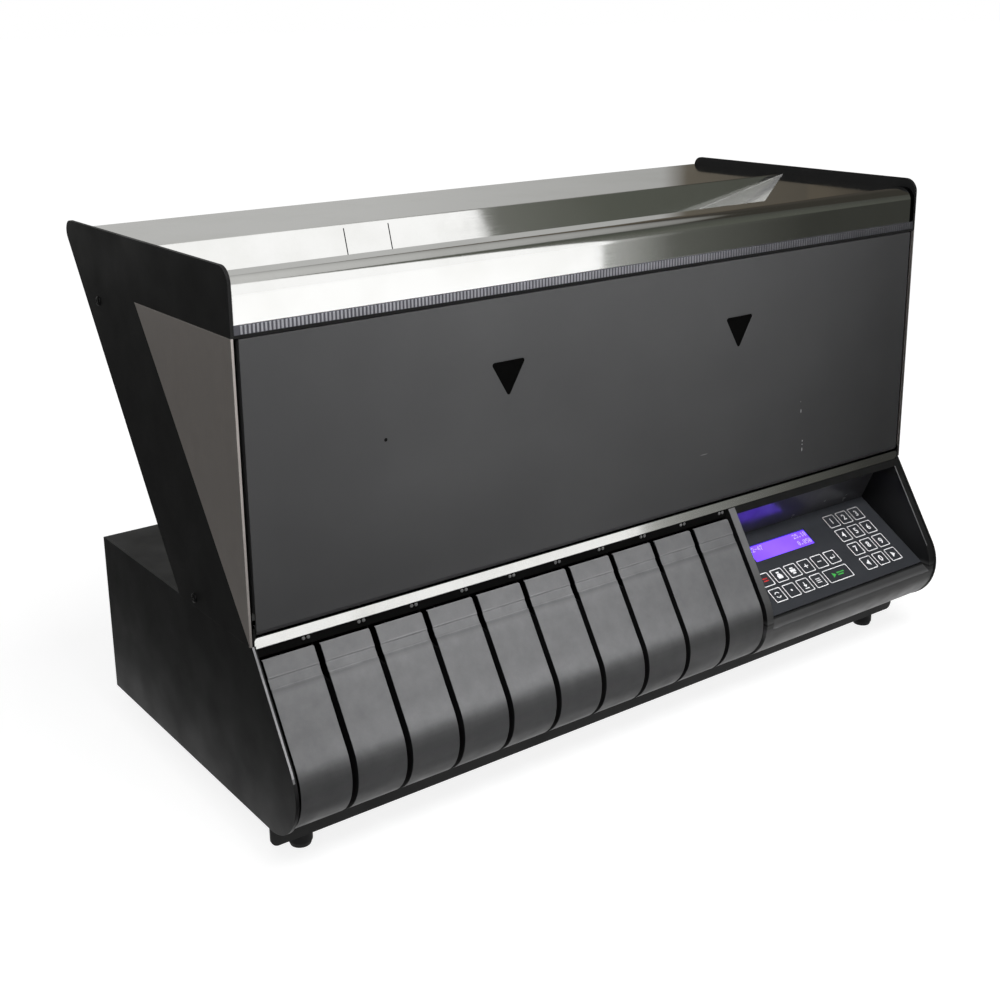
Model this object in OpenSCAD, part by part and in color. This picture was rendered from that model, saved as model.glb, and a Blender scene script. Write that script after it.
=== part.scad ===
// Coin counting machine: a bench-top coin sorter with a steel hopper, ten coin drawers and a keypad.
// The front faces -Y, +X is to the right seen from the front and +Z is up.
// The origin is on the ground, in the middle of the outline.

/* [Overall] */
// Width over the upper side plates
machine_w = 760; // [740:1:800]
// Depth of the base from its rear face to the front panel
base_d = 294; // [280:1:330]
// Height of the base over the lower edge of its side plates
base_h = 149; // [145:0.5:165]
// Height of the upper body over the base
upper_h = 289.5; // [275:0.5:330]
// Lean of the drawer fronts from upright, in degrees
nose_slope = 32; // [30:0.5:34]
// Radius of the rolled nose under the drawer fronts
nose_r = 45; // [42:0.5:48]

/* [Sheet metal] */
// Thickness of the upper side plates
plate_t = 3; // [2.5:0.1:5]
// Thickness of the base side plates
side_t = 3; // [2:0.1:5]
// Step from the upper side plates in to the base side plates
side_inset = 1.5; // [0:0.1:2.5]
// Thickness of the folded covers, the hopper and the front panel
sheet_t = 1.5; // [1:0.1:2]
// Thickness of the bottom pan
pan_t = 2; // [1.5:0.1:3]

/* [Upper body] */
// Length of the upper side plates along the base
plate_foot = 125; // [110:1:140]
// Lean of the upper side plates' rear edge from upright, in degrees
plate_lean = 34; // [31:0.5:36]
// Radius of the top front corner of the side plates
corner_front_r = 13; // [8:0.5:18]
// Radius of the top rear corner of the side plates
corner_rear_r = 10; // [4:0.5:14]
// Length of the steel trim triangle along its top edge
trim_w = 171; // [150:1:180]
// Drop from the plate's top edge to the trim triangle
trim_drop = 51.5; // [45:0.5:60]
// Thickness of the trim triangle, let into the side plate
trim_t = 1.5; // [0.5:0.1:2]
// Distance of the sloping rear panel inside the plates' rear edges
rear_panel_inset = 2; // [1:0.5:8]

/* [Hopper] */
// Drop from the side plates' top edge to the hopper's rim
rim_drop = 8.5; // [4:0.5:14]
// Distance from the front face to the hopper's mouth
lip_w = 32; // [26:1:38]
// Height of the hopper's front face
lip_face_h = 34; // [28:0.5:40]
// Front to rear size of the hopper's mouth
mouth_d = 142; // [130:1:150]
// Depth of the hopper's trough
trough_depth = 85; // [75:1:95]
// Horizontal lean of the trough's rear wall
rear_lean = 24; // [15:1:32]
// Horizontal lean of the trough's front wall
front_lean = 34; // [20:1:40]
// Horizontal lean of the trough's left wall
left_lean = 36; // [20:1:50]
// Length of the slanted right end of the mouth, along the front edge
ramp_corner = 182; // [150:1:220]
// Fall of the right-hand ramp, in degrees
ramp_tilt = 18.4; // [14:0.2:24]
// Drop from the rim to the ramp's lower edge
ramp_drop = 45; // [30:1:55]
// Height of the gate under the ramp's lower edge
gate_h = 14; // [8:1:18]

/* [Coin feed] */
// Radius of the feed rollers
roller_r = 15; // [12:0.5:18]
// Radius of the roller shafts
shaft_r = 4; // [3:0.5:6]
// Thickness of the feed belt
belt_t = 2.5; // [1.5:0.1:4]
// Distance from the left plate to the idle roller
idle_x = 72; // [65:1:90]
// Distance between the two feed rollers
roller_span = 480; // [420:1:520]
// Height of the feed motor's gearbox
gearbox_h = 48; // [40:1:60]
// Radius of the feed motor
motor_r = 20; // [15:0.5:23]
// Length of the feed motor
motor_l = 42; // [30:1:48]
// Fall of the sorting rail from its first to its last slot
rail_fall = 36; // [20:1:50]
// Depth of the sorting rail
rail_d = 34; // [30:1:40]
// Smallest sorting slot
slot_first = 14; // [12:0.5:16]
// Largest sorting slot
slot_last = 28; // [24:0.5:32]

/* [Front panel] */
// Height of the ribbed seal under the hopper's front face
seal_h = 9.5; // [6:0.5:14]
// Depth of the ribbed seal
seal_d = 6; // [4:0.5:10]
// Gap between the front panel and what it closes against
panel_gap = 0.7; // [0.4:0.1:1.5]
// Radius of the rolled lower edge of the front panel
roll_r = 4; // [3.5:0.1:5]
// Radius of the front panel's hinge rod
hinge_r = 2; // [1.5:0.1:2.5]
// Thickness of the hinge ears on the sill
ear_t = 2.5; // [2:0.1:4]
// Depth of the front panel's folded edge
panel_fold = 10; // [6:0.5:12]
// Height of the steel sill over the base
sill_rise = 6.4; // [4:0.1:7]
// Overlap of the steel sill down over the drawer header
sill_lap = 2.5; // [1:0.1:4]
// Width of the arrow marks
mark_w = 36; // [28:0.5:44]
// Height of the arrow marks
mark_h = 31; // [24:0.5:38]
// Depth of the arrow marks' recess
mark_depth = 0.6; // [0.3:0.1:0.8]
// Distance of the first arrow mark from the left side
mark_x1 = 246; // [200:1:300]
// Distance of the second arrow mark from the left side
mark_x2 = 513; // [450:1:560]
// Drop from the plates' top edge to the top of the arrow marks
mark_drop = 105.5; // [90:0.5:130]

/* [Drawers] */
// Share of the inside width taken by the drawers
drawer_share = 0.6658; // [0.63:0.001:0.67]
// Gap between two drawers
drawer_gap = 5.6; // [5:0.1:8]
// Wall thickness of a drawer
drawer_wall = 2; // [1.5:0.1:3]
// Distance of the drawer fronts inside the side plates' outline
drawer_setback = 2; // [1:0.1:4]
// Reach of the drawers behind the front panel
drawer_reach = 130; // [115:1:150]
// Height of a drawer's coin bin
bin_h = 108; // [95:1:112]
// Height of the header rail over the drawers
header_h = 11; // [9:0.5:14]
// Height of the raised band at the top of a drawer front
crease_h = 19; // [12:0.5:26]
// Step under that band
crease_step = 0.6; // [0.3:0.1:1]
// Radius of the finger groove under a drawer's nose
groove_r = 10; // [8:0.5:11]
// Thickness of the fins between the drawers
fin_t = 2; // [1.5:0.1:2.5]
// Distance of the fins inside the side plates' outline
fin_setback = 10; // [8:0.5:14]
// Thickness of the rack's back
rack_t = 3; // [2:0.1:5]
// Depth of the header rail
header_d = 13; // [12:0.5:16]

/* [Control panel] */
// Tilt of the keypad from level, in degrees
keypad_tilt = 31; // [28:0.5:33]
// Length of the keypad along its slope
keypad_l = 96; // [92:0.5:102]
// Distance from the nose to the keypad's lower edge
keypad_lip = 11; // [9:0.5:14]
// Height of the keypad's lower edge over the middle of the nose
keypad_rise = 0; // [-3:0.5:5]
// Drop of the front lip under the keypad overlay's face
lip_drop = 1.6; // [0.5:0.1:1.6]
// Thickness of the housing's left wall
wall_left = 8.5; // [8:0.5:14]
// Thickness of the housing's right wall
wall_right = 7.5; // [5:0.5:12]
// Height of the hood over the keypad
hood_h = 8.4; // [6:0.2:11]
// Wall thickness of the housing
housing_wall = 3; // [2:0.1:4]
// Reach of the housing behind the front panel
housing_reach = 46; // [42:1:60]
// Thickness of the keypad overlay
overlay_t = 2; // [1.6:0.1:3]
// Gap between two keys
key_gap = 3.1; // [2.5:0.1:5]
// Thickness of a key
key_t = 1.4; // [1:0.1:1.5]
// Height of a key over the overlay
key_proud = 0.2; // [0.1:0.05:0.5]
// Corner radius of a key
key_r = 1.6; // [0.5:0.1:3]
// Height of the display window
display_h = 20; // [16:0.5:22]
// Thickness of the display
display_t = 1.2; // [0.8:0.1:1.5]

/* [Base] */
// Drop of the front apron under the side plates
apron_drop = 21; // [15:0.5:26]
// Depth of the cross channels that carry the feet
channel_d = 44; // [36:1:60]
// Distance of the pan's front edge in front of the front panel
pan_lead = 6; // [3:0.5:10]
// Height of the rubber feet
foot_h = 13; // [8:0.5:18]
// Radius of the rubber feet
foot_r = 10; // [8:0.5:14]
// Distance of the feet from the side plates
foot_inset = 32; // [25:1:60]
// Lap of the base cover under the rear panel
cover_lap = 20; // [12:1:30]
// Width of a cooling slot in the rear wall
vent_w = 4; // [3:0.5:5]
// Height of a cooling slot in the rear wall
vent_h = 48; // [30:1:60]
// Radius of a case screw's head
screw_r = 4; // [3:0.25:5]
// Height of a case screw's head
screw_h = 1.6; // [1:0.1:2.5]

/* [Power inlet] */
// Width of the power inlet module
inlet_w = 30; // [28:0.5:36]
// Height of the power inlet module
inlet_h = 52; // [48:0.5:60]
// Depth of the power inlet module behind the wall
inlet_d = 24; // [20:0.5:30]
// Radius of the power switch's rocking face
rocker_r = 14; // [12.5:0.5:15]
// Width of the power switch
rocker_w = 12; // [10:0.5:16]
// Throw of the power switch, in degrees
rocker_throw = 14; // [8:1:18]

/* [Clearances] */
// Radial clearance of a shaft in its bore
shaft_clear = 0.05; // [0.02:0.01:0.1]
// Running gap beside keys, under drawers and round rollers
run_gap = 0.3; // [0.2:0.05:0.4]

/* [Hidden] */
$fn = 64;
drawer_count = 10;
keypad_rows = 4;
vent_side = 8;
num_cols = 3;
func_cols = 6;

// Names of the keys by row, from left to right
num_low = ["key_left", "key_0", "key_right"];
func_high = ["key_stop", "key_bag", "key_print", "key_plus", "key_minus", "key_enter"];
func_low = ["key_coin", "key_point", "key_feed", "key_menu"];

// Colours of the finishes
black = [0.11, 0.11, 0.11];
graphite = [0.25, 0.25, 0.26];
plastic = [0.42, 0.42, 0.43];
steel = [0.72, 0.72, 0.7];
rubber = [0.13, 0.13, 0.14];

// Places in the side view, worked out from the outline
nose_out = (base_h - nose_r) * tan(nose_slope) - nose_r / cos(nose_slope) + nose_r;
rear_corner = plate_foot + upper_h * tan(plate_lean);
rear_reach = rear_corner - corner_rear_r / tan((90 - plate_lean) / 2) + corner_rear_r;
depth = rear_reach + nose_out;
lift = foot_h + apron_drop;
y_front = depth / 2 - rear_reach;
y_rear = y_front + base_d;
y_tip = -depth / 2;
y_nose = y_tip + nose_r;
z_side = lift;
z_nose = z_side + nose_r;
z_base = z_side + base_h;
z_top = z_base + upper_h;
z_deck = z_side + pan_t;
y_pan = y_front - pan_lead;
y_channel = y_rear - channel_d - sheet_t - pan_t;

// Places across the width
half_w = machine_w / 2;
x_plate = half_w - plate_t;
x_base = half_w - side_inset;
x_inner = x_base - side_t;
cell_x = -x_inner;
drawer_pitch = 2 * x_inner * drawer_share / drawer_count;
drawer_w = drawer_pitch - drawer_gap;
cell_end = cell_x + drawer_count * drawer_pitch;
x_foot = x_inner - foot_inset;

// Places of the upper body and the hopper
z_rim = z_top - rim_drop;
z_lip = z_rim - lip_face_h;
z_floor = z_rim - trough_depth;
y_mouth_front = y_front + lip_w;
y_mouth_rear = y_mouth_front + mouth_d;
y_floor_front = y_mouth_front + front_lean;
y_floor_rear = y_mouth_rear - rear_lean;
floor_d = y_floor_rear - y_floor_front;
belt_r = roller_r + run_gap + belt_t;
z_roller = z_floor - belt_r;
z_skirt = z_roller - shaft_r * 3;
belt_side_gap = 2;
belt_y = y_floor_front + sheet_t / 2 + belt_side_gap;
belt_w = floor_d - sheet_t - 2 * belt_side_gap;
x_idle = -half_w + idle_x;
x_drive = x_idle + roller_span;
shaft_over = 8;
shaft_end = 1;
gear_d = 22;

// Places of the front panel
z_hinge = z_base + sill_rise + panel_gap + roll_r;
y_hinge = y_front + roll_r + run_gap;
z_panel = z_lip - seal_h - panel_gap;
panel_half = x_plate - ear_t - panel_gap;
mark_r = 2;

// Places of the drawers
z_run = z_deck + run_gap;
z_head = z_base - header_h;
z_drawer = z_head - run_gap;
z_bin = z_run + bin_h;
y_bin = y_front + drawer_reach;
groove_lead = 14;
groove_drop = 4;

// Places of the control panel
x_ctl = cell_end + fin_t / 2 + run_gap;
x_recess = x_ctl + wall_left;
x_recess_end = x_inner - wall_right;
housing_inset = 0.6;
panel_dir = [cos(keypad_tilt), sin(keypad_tilt)];
panel_nrm = [-sin(keypad_tilt), cos(keypad_tilt)];
keypad_at = [y_tip + keypad_lip, z_nose + keypad_rise];
z_hood = z_base - hood_h;
z_sill = z_base - sill_lap - run_gap;
overlay_x = x_recess + run_gap;
overlay_end = x_recess_end - run_gap;
keys_across = 11.95;
key_pitch = (overlay_end - overlay_x) / keys_across;
key_w = key_pitch - key_gap;
num_margin = key_pitch * 1.35;
func_margin = key_pitch * 1.71;
rows_along = 4.92;
row_pitch = keypad_l / rows_along;
key_l = row_pitch - key_gap;
display_margin = key_pitch * 2.09;
display_w = key_pitch * 4.4;
display_top = 15.4;
start_cols = 2;
wide_key = key_w + key_pitch * (start_cols - 1);

// Places of the case screws and of the studs on the header rail
z_screw = z_top - trim_drop - 11;
screw_inset = 29;
stud_at = -6.3;
stud_pitch = 4.2;
stud_r = 1.5;
stud_h = 0.8;

// Places of the power inlet, seen from behind
inlet_x = x_inner - 110;
inlet_z = z_side + base_h / 2;
bezel_t = 2;
bezel_w = 3;
socket_w = 24;
socket_h = 17;
socket_cut = 4;
socket_wall = 4;
prong_w = 2;
prong_h = 5;
prong_x = 7;
rocker_proud = 1.5;
pivot_wall = 2;
pivot_l = inlet_w - 2 * pivot_wall - 2;
rocker_h = 18;
z_rocker = inlet_z + inlet_h / 4;
y_rocker = y_rear - rocker_r + bezel_t + rocker_proud;

// Places of the sorting rail
rail_y = y_front + panel_fold + 4;
rail_back = rail_y + rail_d;
z_rail_high = z_skirt - shaft_r * 3;
z_rail_low = z_rail_high - rail_fall;
rail_t = 2;
rail_rise = 12;
slot_side = 4;
slot_ledge = 2;
chute_top = z_rail_low - rail_rise;

// Sizes of the main board and what it carries
board_margin = 20;
board_lift = 8;
board_t = 1.6;
spacer_in = 6;
supply = [55, 50, 45];
heat_sink = [8, 60, 30];
cap_r = 6;
cap_h = 24;
header_strip = [70, 10, 12];

// A point of the keypad's side view: u up its slope and v out of its face
function panel_point(u, v) = keypad_at + u * panel_dir + v * panel_nrm;

// The rear edge of the upper side plates at height z
function plate_rear(z) = y_front + plate_foot + (z - z_base) * tan(plate_lean);

// The slope of the front, drawn in by an inset, at height z
function slope_y(z, inset) = y_front + inset / cos(nose_slope) - (z_base - z) * tan(nose_slope);

// Rounded corners: the corner's two directions, its half angle and its centre
function unit(v) = v / norm(v);
function to_prev(p, i) = unit(p[(i + len(p) - 1) % len(p)] - p[i]);
function to_next(p, i) = unit(p[(i + 1) % len(p)] - p[i]);
function half_angle(p, i) = acos(to_prev(p, i) * to_next(p, i)) / 2;
function cut(p, r, i) = r[i] / tan(half_angle(p, i));
function corner_centre(p, r, i) =
  p[i] + unit(to_prev(p, i) + to_next(p, i)) * r[i] / sin(half_angle(p, i));
function corner_points(p, r, i) = r[i] == 0
  ? [p[i]]
  : [p[i] + to_prev(p, i) * cut(p, r, i), corner_centre(p, r, i), p[i] + to_next(p, i) * cut(p, r, i)];

// A convex outline with a radius at each corner
module rounded(p, r) {
  polygon([for (i = [0 : len(p) - 1]) each corner_points(p, r, i)]);
  for (i = [0 : len(p) - 1])
    if (r[i] > 0)
      translate(corner_centre(p, r, i)) circle(r[i]);
}

// A rectangle round the origin with rounded corners
module rounded_rect(w, h, r)
  rounded([[-w, -h] / 2, [w, -h] / 2, [w, h] / 2, [-w, h] / 2], [r, r, r, r]);

// A side view drawn in Y and Z, run along X
module along_x(x, w) translate([x, 0, 0]) rotate([90, 0, 90]) linear_extrude(w) children();

// A front view drawn in X and Z, run towards the rear from y
module along_y(y, d) translate([0, y + d, 0]) rotate([90, 0, 0]) linear_extrude(d) children();

// A round bar along X or along Y
module bar_x(x, y, z, r, l) translate([x, y, z]) rotate([0, 90, 0]) cylinder(r = r, h = l);
module bar_y(x, y, z, r, l) translate([x, y, z]) rotate([-90, 0, 0]) cylinder(r = r, h = l);

// A box between two corners
module box(a, b) translate(a) cube(b - a);

// A folded sheet that follows a row of points
module bent_sheet(p, t) {
  for (i = [0 : len(p) - 2]) {
    side = unit([p[i].y - p[i + 1].y, p[i + 1].x - p[i].x]) * t / 2;
    polygon([p[i] + side, p[i + 1] + side, p[i + 1] - side, p[i] - side]);
  }
  for (i = [1 : len(p) - 2])
    translate(p[i]) circle(t / 2);
}

// The side view of the base, with its front drawn in by an inset
module base_outline(inset = 0) {
  r = nose_r - inset;
  polygon([
    [y_rear, z_side + inset], [y_rear, z_base], [y_front + inset / cos(nose_slope), z_base],
    [y_nose - r * cos(nose_slope), z_nose + r * sin(nose_slope)], [y_nose, z_nose], [y_nose, z_side + inset]
  ]);
  translate([y_nose, z_nose]) circle(r);
}

// The part of that side view between two heights, in front of y
module front_outline(inset, z_low, z_high, y_back)
  intersection() {
    base_outline(inset);
    translate([y_tip - 1, z_low]) square([y_back - y_tip + 1, z_high - z_low]);
  }

// The bottom pan: a deck, a front apron and two cross channels for the feet
module base_pan() color(black) {
  box([-x_inner, y_pan, z_side], [x_inner, y_rear - sheet_t, z_deck]);
  along_y(y_pan, pan_t)
    rounded(
      [[-x_inner, foot_h], [x_inner, foot_h], [x_inner, z_deck], [-x_inner, z_deck]],
      [apron_drop / 3, apron_drop / 3, 0, 0]
    );
  for (y = [y_pan, y_channel])
    along_x(-x_foot - foot_r * 1.5, 2 * x_foot + foot_r * 3)
      difference() {
        translate([y, foot_h]) square([channel_d, apron_drop]);
        translate([y + pan_t, foot_h + pan_t]) square([channel_d - 2 * pan_t, apron_drop]);
      }
}

// Rubber feet under the cross channels
module feet() color(rubber)
  for (x = [-x_foot, x_foot], y = [y_pan + foot_r + pan_t, y_channel + channel_d / 2])
    translate([x, y, 0])
      rotate_extrude()
        polygon([[0, 0], [foot_r * 0.85, 0], [foot_r, foot_h * 0.3], [foot_r, foot_h], [0, foot_h]]);

// A side plate of the base, with the rolled nose
module base_side(x) color(black) along_x(x, side_t) base_outline();

module base_side_left() base_side(-x_base);

module base_side_right() base_side(x_inner);

// The base's rear wall and top, folded from one sheet, with cooling slots
module base_cover() color(black)
  difference() {
    union() {
      box([-x_inner, y_rear - sheet_t, z_side], [x_inner, y_rear, z_base]);
      box([-x_inner, y_front + plate_foot - cover_lap, z_base - sheet_t], [x_inner, y_rear, z_base]);
    }
    along_y(y_rear - 2 * sheet_t, 3 * sheet_t)
      for (i = [-vent_side : vent_side])
        translate([i * vent_w * 2.5, z_side + base_h / 2]) {
          square([vent_w, vent_h - vent_w], center = true);
          for (end = [-1, 1])
            translate([0, end * (vent_h - vent_w) / 2]) circle(vent_w / 2);
        }
    along_y(y_rear - 2 * sheet_t, 3 * sheet_t)
      translate([inlet_x, inlet_z]) square([inlet_w, inlet_h], center = true);
  }

// The outline of an upper side plate, of the trim triangle let into it and of the trim's folded front edge
module plate_outline()
  rounded(
    [[y_front, z_base], [y_front, z_top], [plate_rear(z_top), z_top], [y_front + plate_foot, z_base]],
    [0, corner_front_r, corner_rear_r, 0]
  );

module trim_outline()
  polygon([
    [y_front, z_top - trim_drop], [y_front + trim_w, z_top - trim_drop], [y_front, z_base]
  ]);

module trim_edge() translate([y_front, z_base]) square([trim_t, upper_h - trim_drop]);

module upper_side(x, x_behind) color(black) {
  along_x(x, plate_t)
    difference() {
      plate_outline();
      trim_outline();
      trim_edge();
    }
  along_x(x_behind, plate_t - trim_t)
    difference() {
      plate_outline();
      trim_edge();
    }
}

module upper_side_left() upper_side(-half_w, -half_w + trim_t);

module upper_side_right() upper_side(x_plate, x_plate);

module side_trim(x, x_edge) color(steel) {
  along_x(x, trim_t) trim_outline();
  along_x(x_edge, plate_t) trim_edge();
}

module side_trim_left() side_trim(-half_w, -half_w);

module side_trim_right() side_trim(half_w - trim_t, x_plate);

// The sloping rear panel between the side plates
module rear_panel() color(black)
  along_x(-x_plate, 2 * x_plate)
    polygon([
      for (p = [[z_base, 0], [z_rim - sheet_t, 0], [z_rim - sheet_t, sheet_t], [z_base, sheet_t]])
        [plate_rear(p[0]) - rear_panel_inset - p[1], p[0]]
    ]);

// The hopper's folded section: rear shelf, trough walls, skirts, front lip and its folded edge
module hopper_section() {
  z_mid = z_rim - sheet_t / 2;
  bent_sheet(
    [
      [plate_rear(z_rim) - rear_panel_inset, z_mid], [y_mouth_rear, z_mid],
      [y_floor_rear, z_floor], [y_floor_rear, z_skirt]
    ],
    sheet_t
  );
  bent_sheet(
    [
      [y_floor_front, z_skirt], [y_floor_front, z_floor], [y_mouth_front, z_mid],
      [y_front + corner_front_r, z_mid]
    ],
    sheet_t
  );
  intersection() {
    translate([y_front + corner_front_r, z_rim - corner_front_r])
      difference() {
        circle(corner_front_r);
        circle(corner_front_r - sheet_t);
      }
    translate([y_front, z_rim - corner_front_r]) square(corner_front_r);
  }
  bent_sheet(
    [
      [y_front + sheet_t / 2, z_rim - corner_front_r], [y_front + sheet_t / 2, z_lip + sheet_t / 2],
      [y_front + lip_w / 2, z_lip + sheet_t / 2]
    ],
    sheet_t
  );
}

// The inside of the trough in the side view
module trough_inside()
  polygon([
    [y_mouth_front, z_rim], [y_mouth_rear, z_rim], [y_floor_rear, z_floor], [y_floor_front, z_floor]
  ]);

// The ramp at the right end: it falls from the slanted edge of the mouth and ends in a gate
module hopper_ramp() {
  run = ramp_drop / sin(ramp_tilt);
  reach = ramp_drop / tan(ramp_tilt);
  wide = ramp_corner + mouth_d;
  turn = 180 - atan2(ramp_corner, mouth_d);
  intersection() {
    along_x(-x_plate, 2 * x_plate) trough_inside();
    translate([x_plate, y_mouth_rear, z_rim])
      rotate([0, 0, turn]) {
        rotate([0, ramp_tilt, 0]) translate([0, -wide, -sheet_t]) cube([run, 2 * wide, sheet_t]);
        translate([reach - sheet_t, -wide, -ramp_drop - gate_h]) cube([sheet_t, 2 * wide, gate_h]);
      }
  }
}

// The steel hopper
module hopper() color(steel)
  difference() {
    union() {
      along_x(-x_plate, 2 * x_plate) hopper_section();
      hopper_ramp();
      translate([0, 0, z_rim - sheet_t])
        linear_extrude(sheet_t)
          polygon([
            [x_plate, y_mouth_rear], [x_plate, y_mouth_front], [x_plate - ramp_corner, y_mouth_front]
          ]);
      intersection() {
        along_x(-x_plate, 2 * x_plate) trough_inside();
        along_y(y_mouth_front, mouth_d)
          bent_sheet(
            [[-x_plate, z_rim], [-x_plate + left_lean, z_floor], [-x_plate + left_lean, z_skirt]],
            sheet_t
          );
      }
    }
    for (x = [x_idle, x_drive])
      bar_y(x, y_floor_front - sheet_t, z_roller, shaft_r + shaft_clear, floor_d + 2 * sheet_t);
  }

// The seal strip under the hopper's front face
module panel_seal() color(rubber)
  box([-x_plate, y_front, z_lip - seal_h], [x_plate, y_front + seal_d, z_lip]);

// Points on an arc
function arc(c, r, from, to) =
  [for (k = [0 : 6]) c + r * [cos(from + (to - from) * k / 6), sin(from + (to - from) * k / 6)]];

// An arrow mark that points down
module arrow_mark(x) {
  p = [[-mark_w / 2, 0], [mark_w / 2, 0], [0, -mark_h]];
  r = [mark_r, mark_r, mark_r];
  lean = atan2(mark_h, mark_w / 2);
  translate([x - half_w, z_top - mark_drop])
    polygon(
      concat(
        arc(corner_centre(p, r, 0), mark_r, 90, 270 - lean),
        arc(corner_centre(p, r, 2), mark_r, 270 - lean, 270 + lean),
        arc(corner_centre(p, r, 1), mark_r, 270 + lean, 450)
      )
    );
}

// The face of the front panel
module panel_face() translate([-panel_half, z_hinge]) square([2 * panel_half, z_panel - z_hinge]);

// The front panel: a folded sheet with a rolled lower edge on a hinge rod
module front_panel() color(graphite) {
  fold_low = z_hinge + roll_r + panel_fold;
  along_y(y_front, mark_depth)
    difference() {
      panel_face();
      arrow_mark(mark_x1);
      arrow_mark(mark_x2);
    }
  along_y(y_front + mark_depth, sheet_t - mark_depth) panel_face();
  box([-panel_half, y_front + mark_depth, z_panel - sheet_t], [panel_half, y_front + panel_fold, z_panel]);
  for (x = [-panel_half, panel_half - sheet_t])
    box([x, y_front + mark_depth, fold_low], [x + sheet_t, y_front + panel_fold, z_panel]);
  bar_x(-panel_half, y_hinge, z_hinge, roll_r, 2 * panel_half);
  bar_x(-x_plate, y_hinge, z_hinge, hinge_r, 2 * x_plate);
}

// The steel sill under the front panel, with the ears that hold its hinge rod
module sill_strip() color(steel) {
  x_lap = x_inner - run_gap;
  box([-x_lap, y_front, z_base - sill_lap], [x_lap, y_front + sheet_t, z_base + sheet_t]);
  box([-x_plate, y_front, z_base], [x_plate, y_front + sheet_t, z_base + sill_rise]);
  box([-x_plate, y_front, z_base], [x_plate, y_front + 2 * roll_r, z_base + sheet_t]);
  for (x = [-x_plate, x_plate - ear_t])
    along_x(x, ear_t)
      difference() {
        union() {
          translate([y_front, z_base]) square([2 * roll_r, z_hinge - z_base]);
          translate([y_hinge, z_hinge]) circle(roll_r);
        }
        translate([y_hinge, z_hinge]) circle(hinge_r + shaft_clear);
      }
}

// The rack between the drawers: header rail, back and fins
module drawer_rack() color(black) {
  box([cell_x, y_front + sheet_t, z_head], [cell_end, y_front + sheet_t + header_d, z_base]);
  box([cell_x, y_bin + run_gap, z_deck], [cell_end, y_bin + run_gap + rack_t, z_base - sheet_t]);
  for (i = [1 : drawer_count])
    along_x(cell_x + i * drawer_pitch - fin_t / 2, fin_t)
      front_outline(fin_setback, z_deck, z_base - sheet_t, y_bin + run_gap + rack_t / 2);
}

// A coin drawer: a moulded front with a rolled nose, and an open bin behind it
module drawer(i) {
  x = cell_x + (i - 1) * drawer_pitch + (drawer_pitch - drawer_w) / 2;
  inside = drawer_setback + drawer_wall;
  groove_at = [y_nose - groove_lead, z_run - groove_drop];
  color(plastic)
    difference() {
      along_x(x, drawer_w)
        difference() {
          front_outline(drawer_setback, z_run, z_drawer, y_bin);
          difference() {
            front_outline(drawer_setback - 1, z_drawer - crease_h, z_base, y_nose);
            base_outline(drawer_setback + crease_step);
          }
          translate(groove_at) circle(groove_r);
        }
      along_x(x + drawer_wall, drawer_w - 2 * drawer_wall)
        difference() {
          front_outline(inside, z_run + drawer_wall, z_base, y_bin - drawer_wall);
          translate(groove_at) circle(groove_r + drawer_wall);
        }
      along_x(x - 1, drawer_w + 2)
        front_outline(inside, z_bin, z_base, y_bin + 1);
    }
}

// The moulded housing of the control panel, with its hooded recess
module control_housing() color(black) {
  low = panel_point(0, 0);
  high = panel_point(keypad_l + 2 * run_gap, 0);
  lip = panel_point(0, overlay_t - lip_drop);
  lip_out = panel_point(-2 * keypad_lip, overlay_t - lip_drop);
  y_back = y_front + housing_reach;
  under = panel_point(0, -housing_wall);
  under_high = panel_point(keypad_l + 2 * run_gap, -housing_wall);
  difference() {
    along_x(x_ctl, x_inner - x_ctl)
      difference() {
        front_outline(housing_inset, z_side + housing_inset, z_base, y_back);
        translate([y_pan - run_gap, z_side - 1]) square([depth, pan_t + 1]);
        translate([y_tip, z_sill]) square([y_front + sheet_t + run_gap - y_tip, base_h]);
      }
    along_x(x_recess, x_recess_end - x_recess)
      polygon([low, high, [high.x, z_hood], [y_tip - 1, z_hood], [y_tip - 1, lip_out.y], lip_out, lip]);
    along_x(x_ctl + housing_wall, x_inner - x_ctl - 2 * housing_wall)
      intersection() {
        front_outline(housing_inset + housing_wall, z_deck + housing_wall, z_base, y_back + 1);
        polygon([
          under, under_high, [high.x + housing_wall, under_high.y],
          [high.x + housing_wall, z_base - housing_wall], [y_back + 1, z_base - housing_wall],
          [y_back + 1, z_side], [under.x, z_side]
        ]);
      }
  }
}

// Pieces that lie on the keypad's slope
module on_keypad() translate([0, keypad_at.x, keypad_at.y]) rotate([keypad_tilt, 0, 0]) children();

// Key places on the overlay: the number pad from the right, the function keys from the left
function num_key(col, row) =
  [overlay_end - num_margin - (num_cols - 1 - col) * key_pitch, row_pitch * (row + 1)];
function func_key(col, row) = [overlay_x + func_margin + col * key_pitch, row_pitch * (row + 1)];
start_at = func_key(func_cols - start_cols, 0) + [key_pitch * (start_cols - 1) / 2, 0];
display_at = [
  overlay_x + display_margin + display_w / 2,
  keypad_l - display_top - display_h / 2
];

module key_cap(at, w = key_w) color(graphite)
  on_keypad()
    translate([at.x, at.y, overlay_t + key_proud - key_t])
      linear_extrude(key_t)
        rounded_rect(w, key_l, key_r);

module key_hole(at, w = key_w)
  translate(at) rounded_rect(w + 2 * run_gap, key_l + 2 * run_gap, key_r + run_gap);

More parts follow.
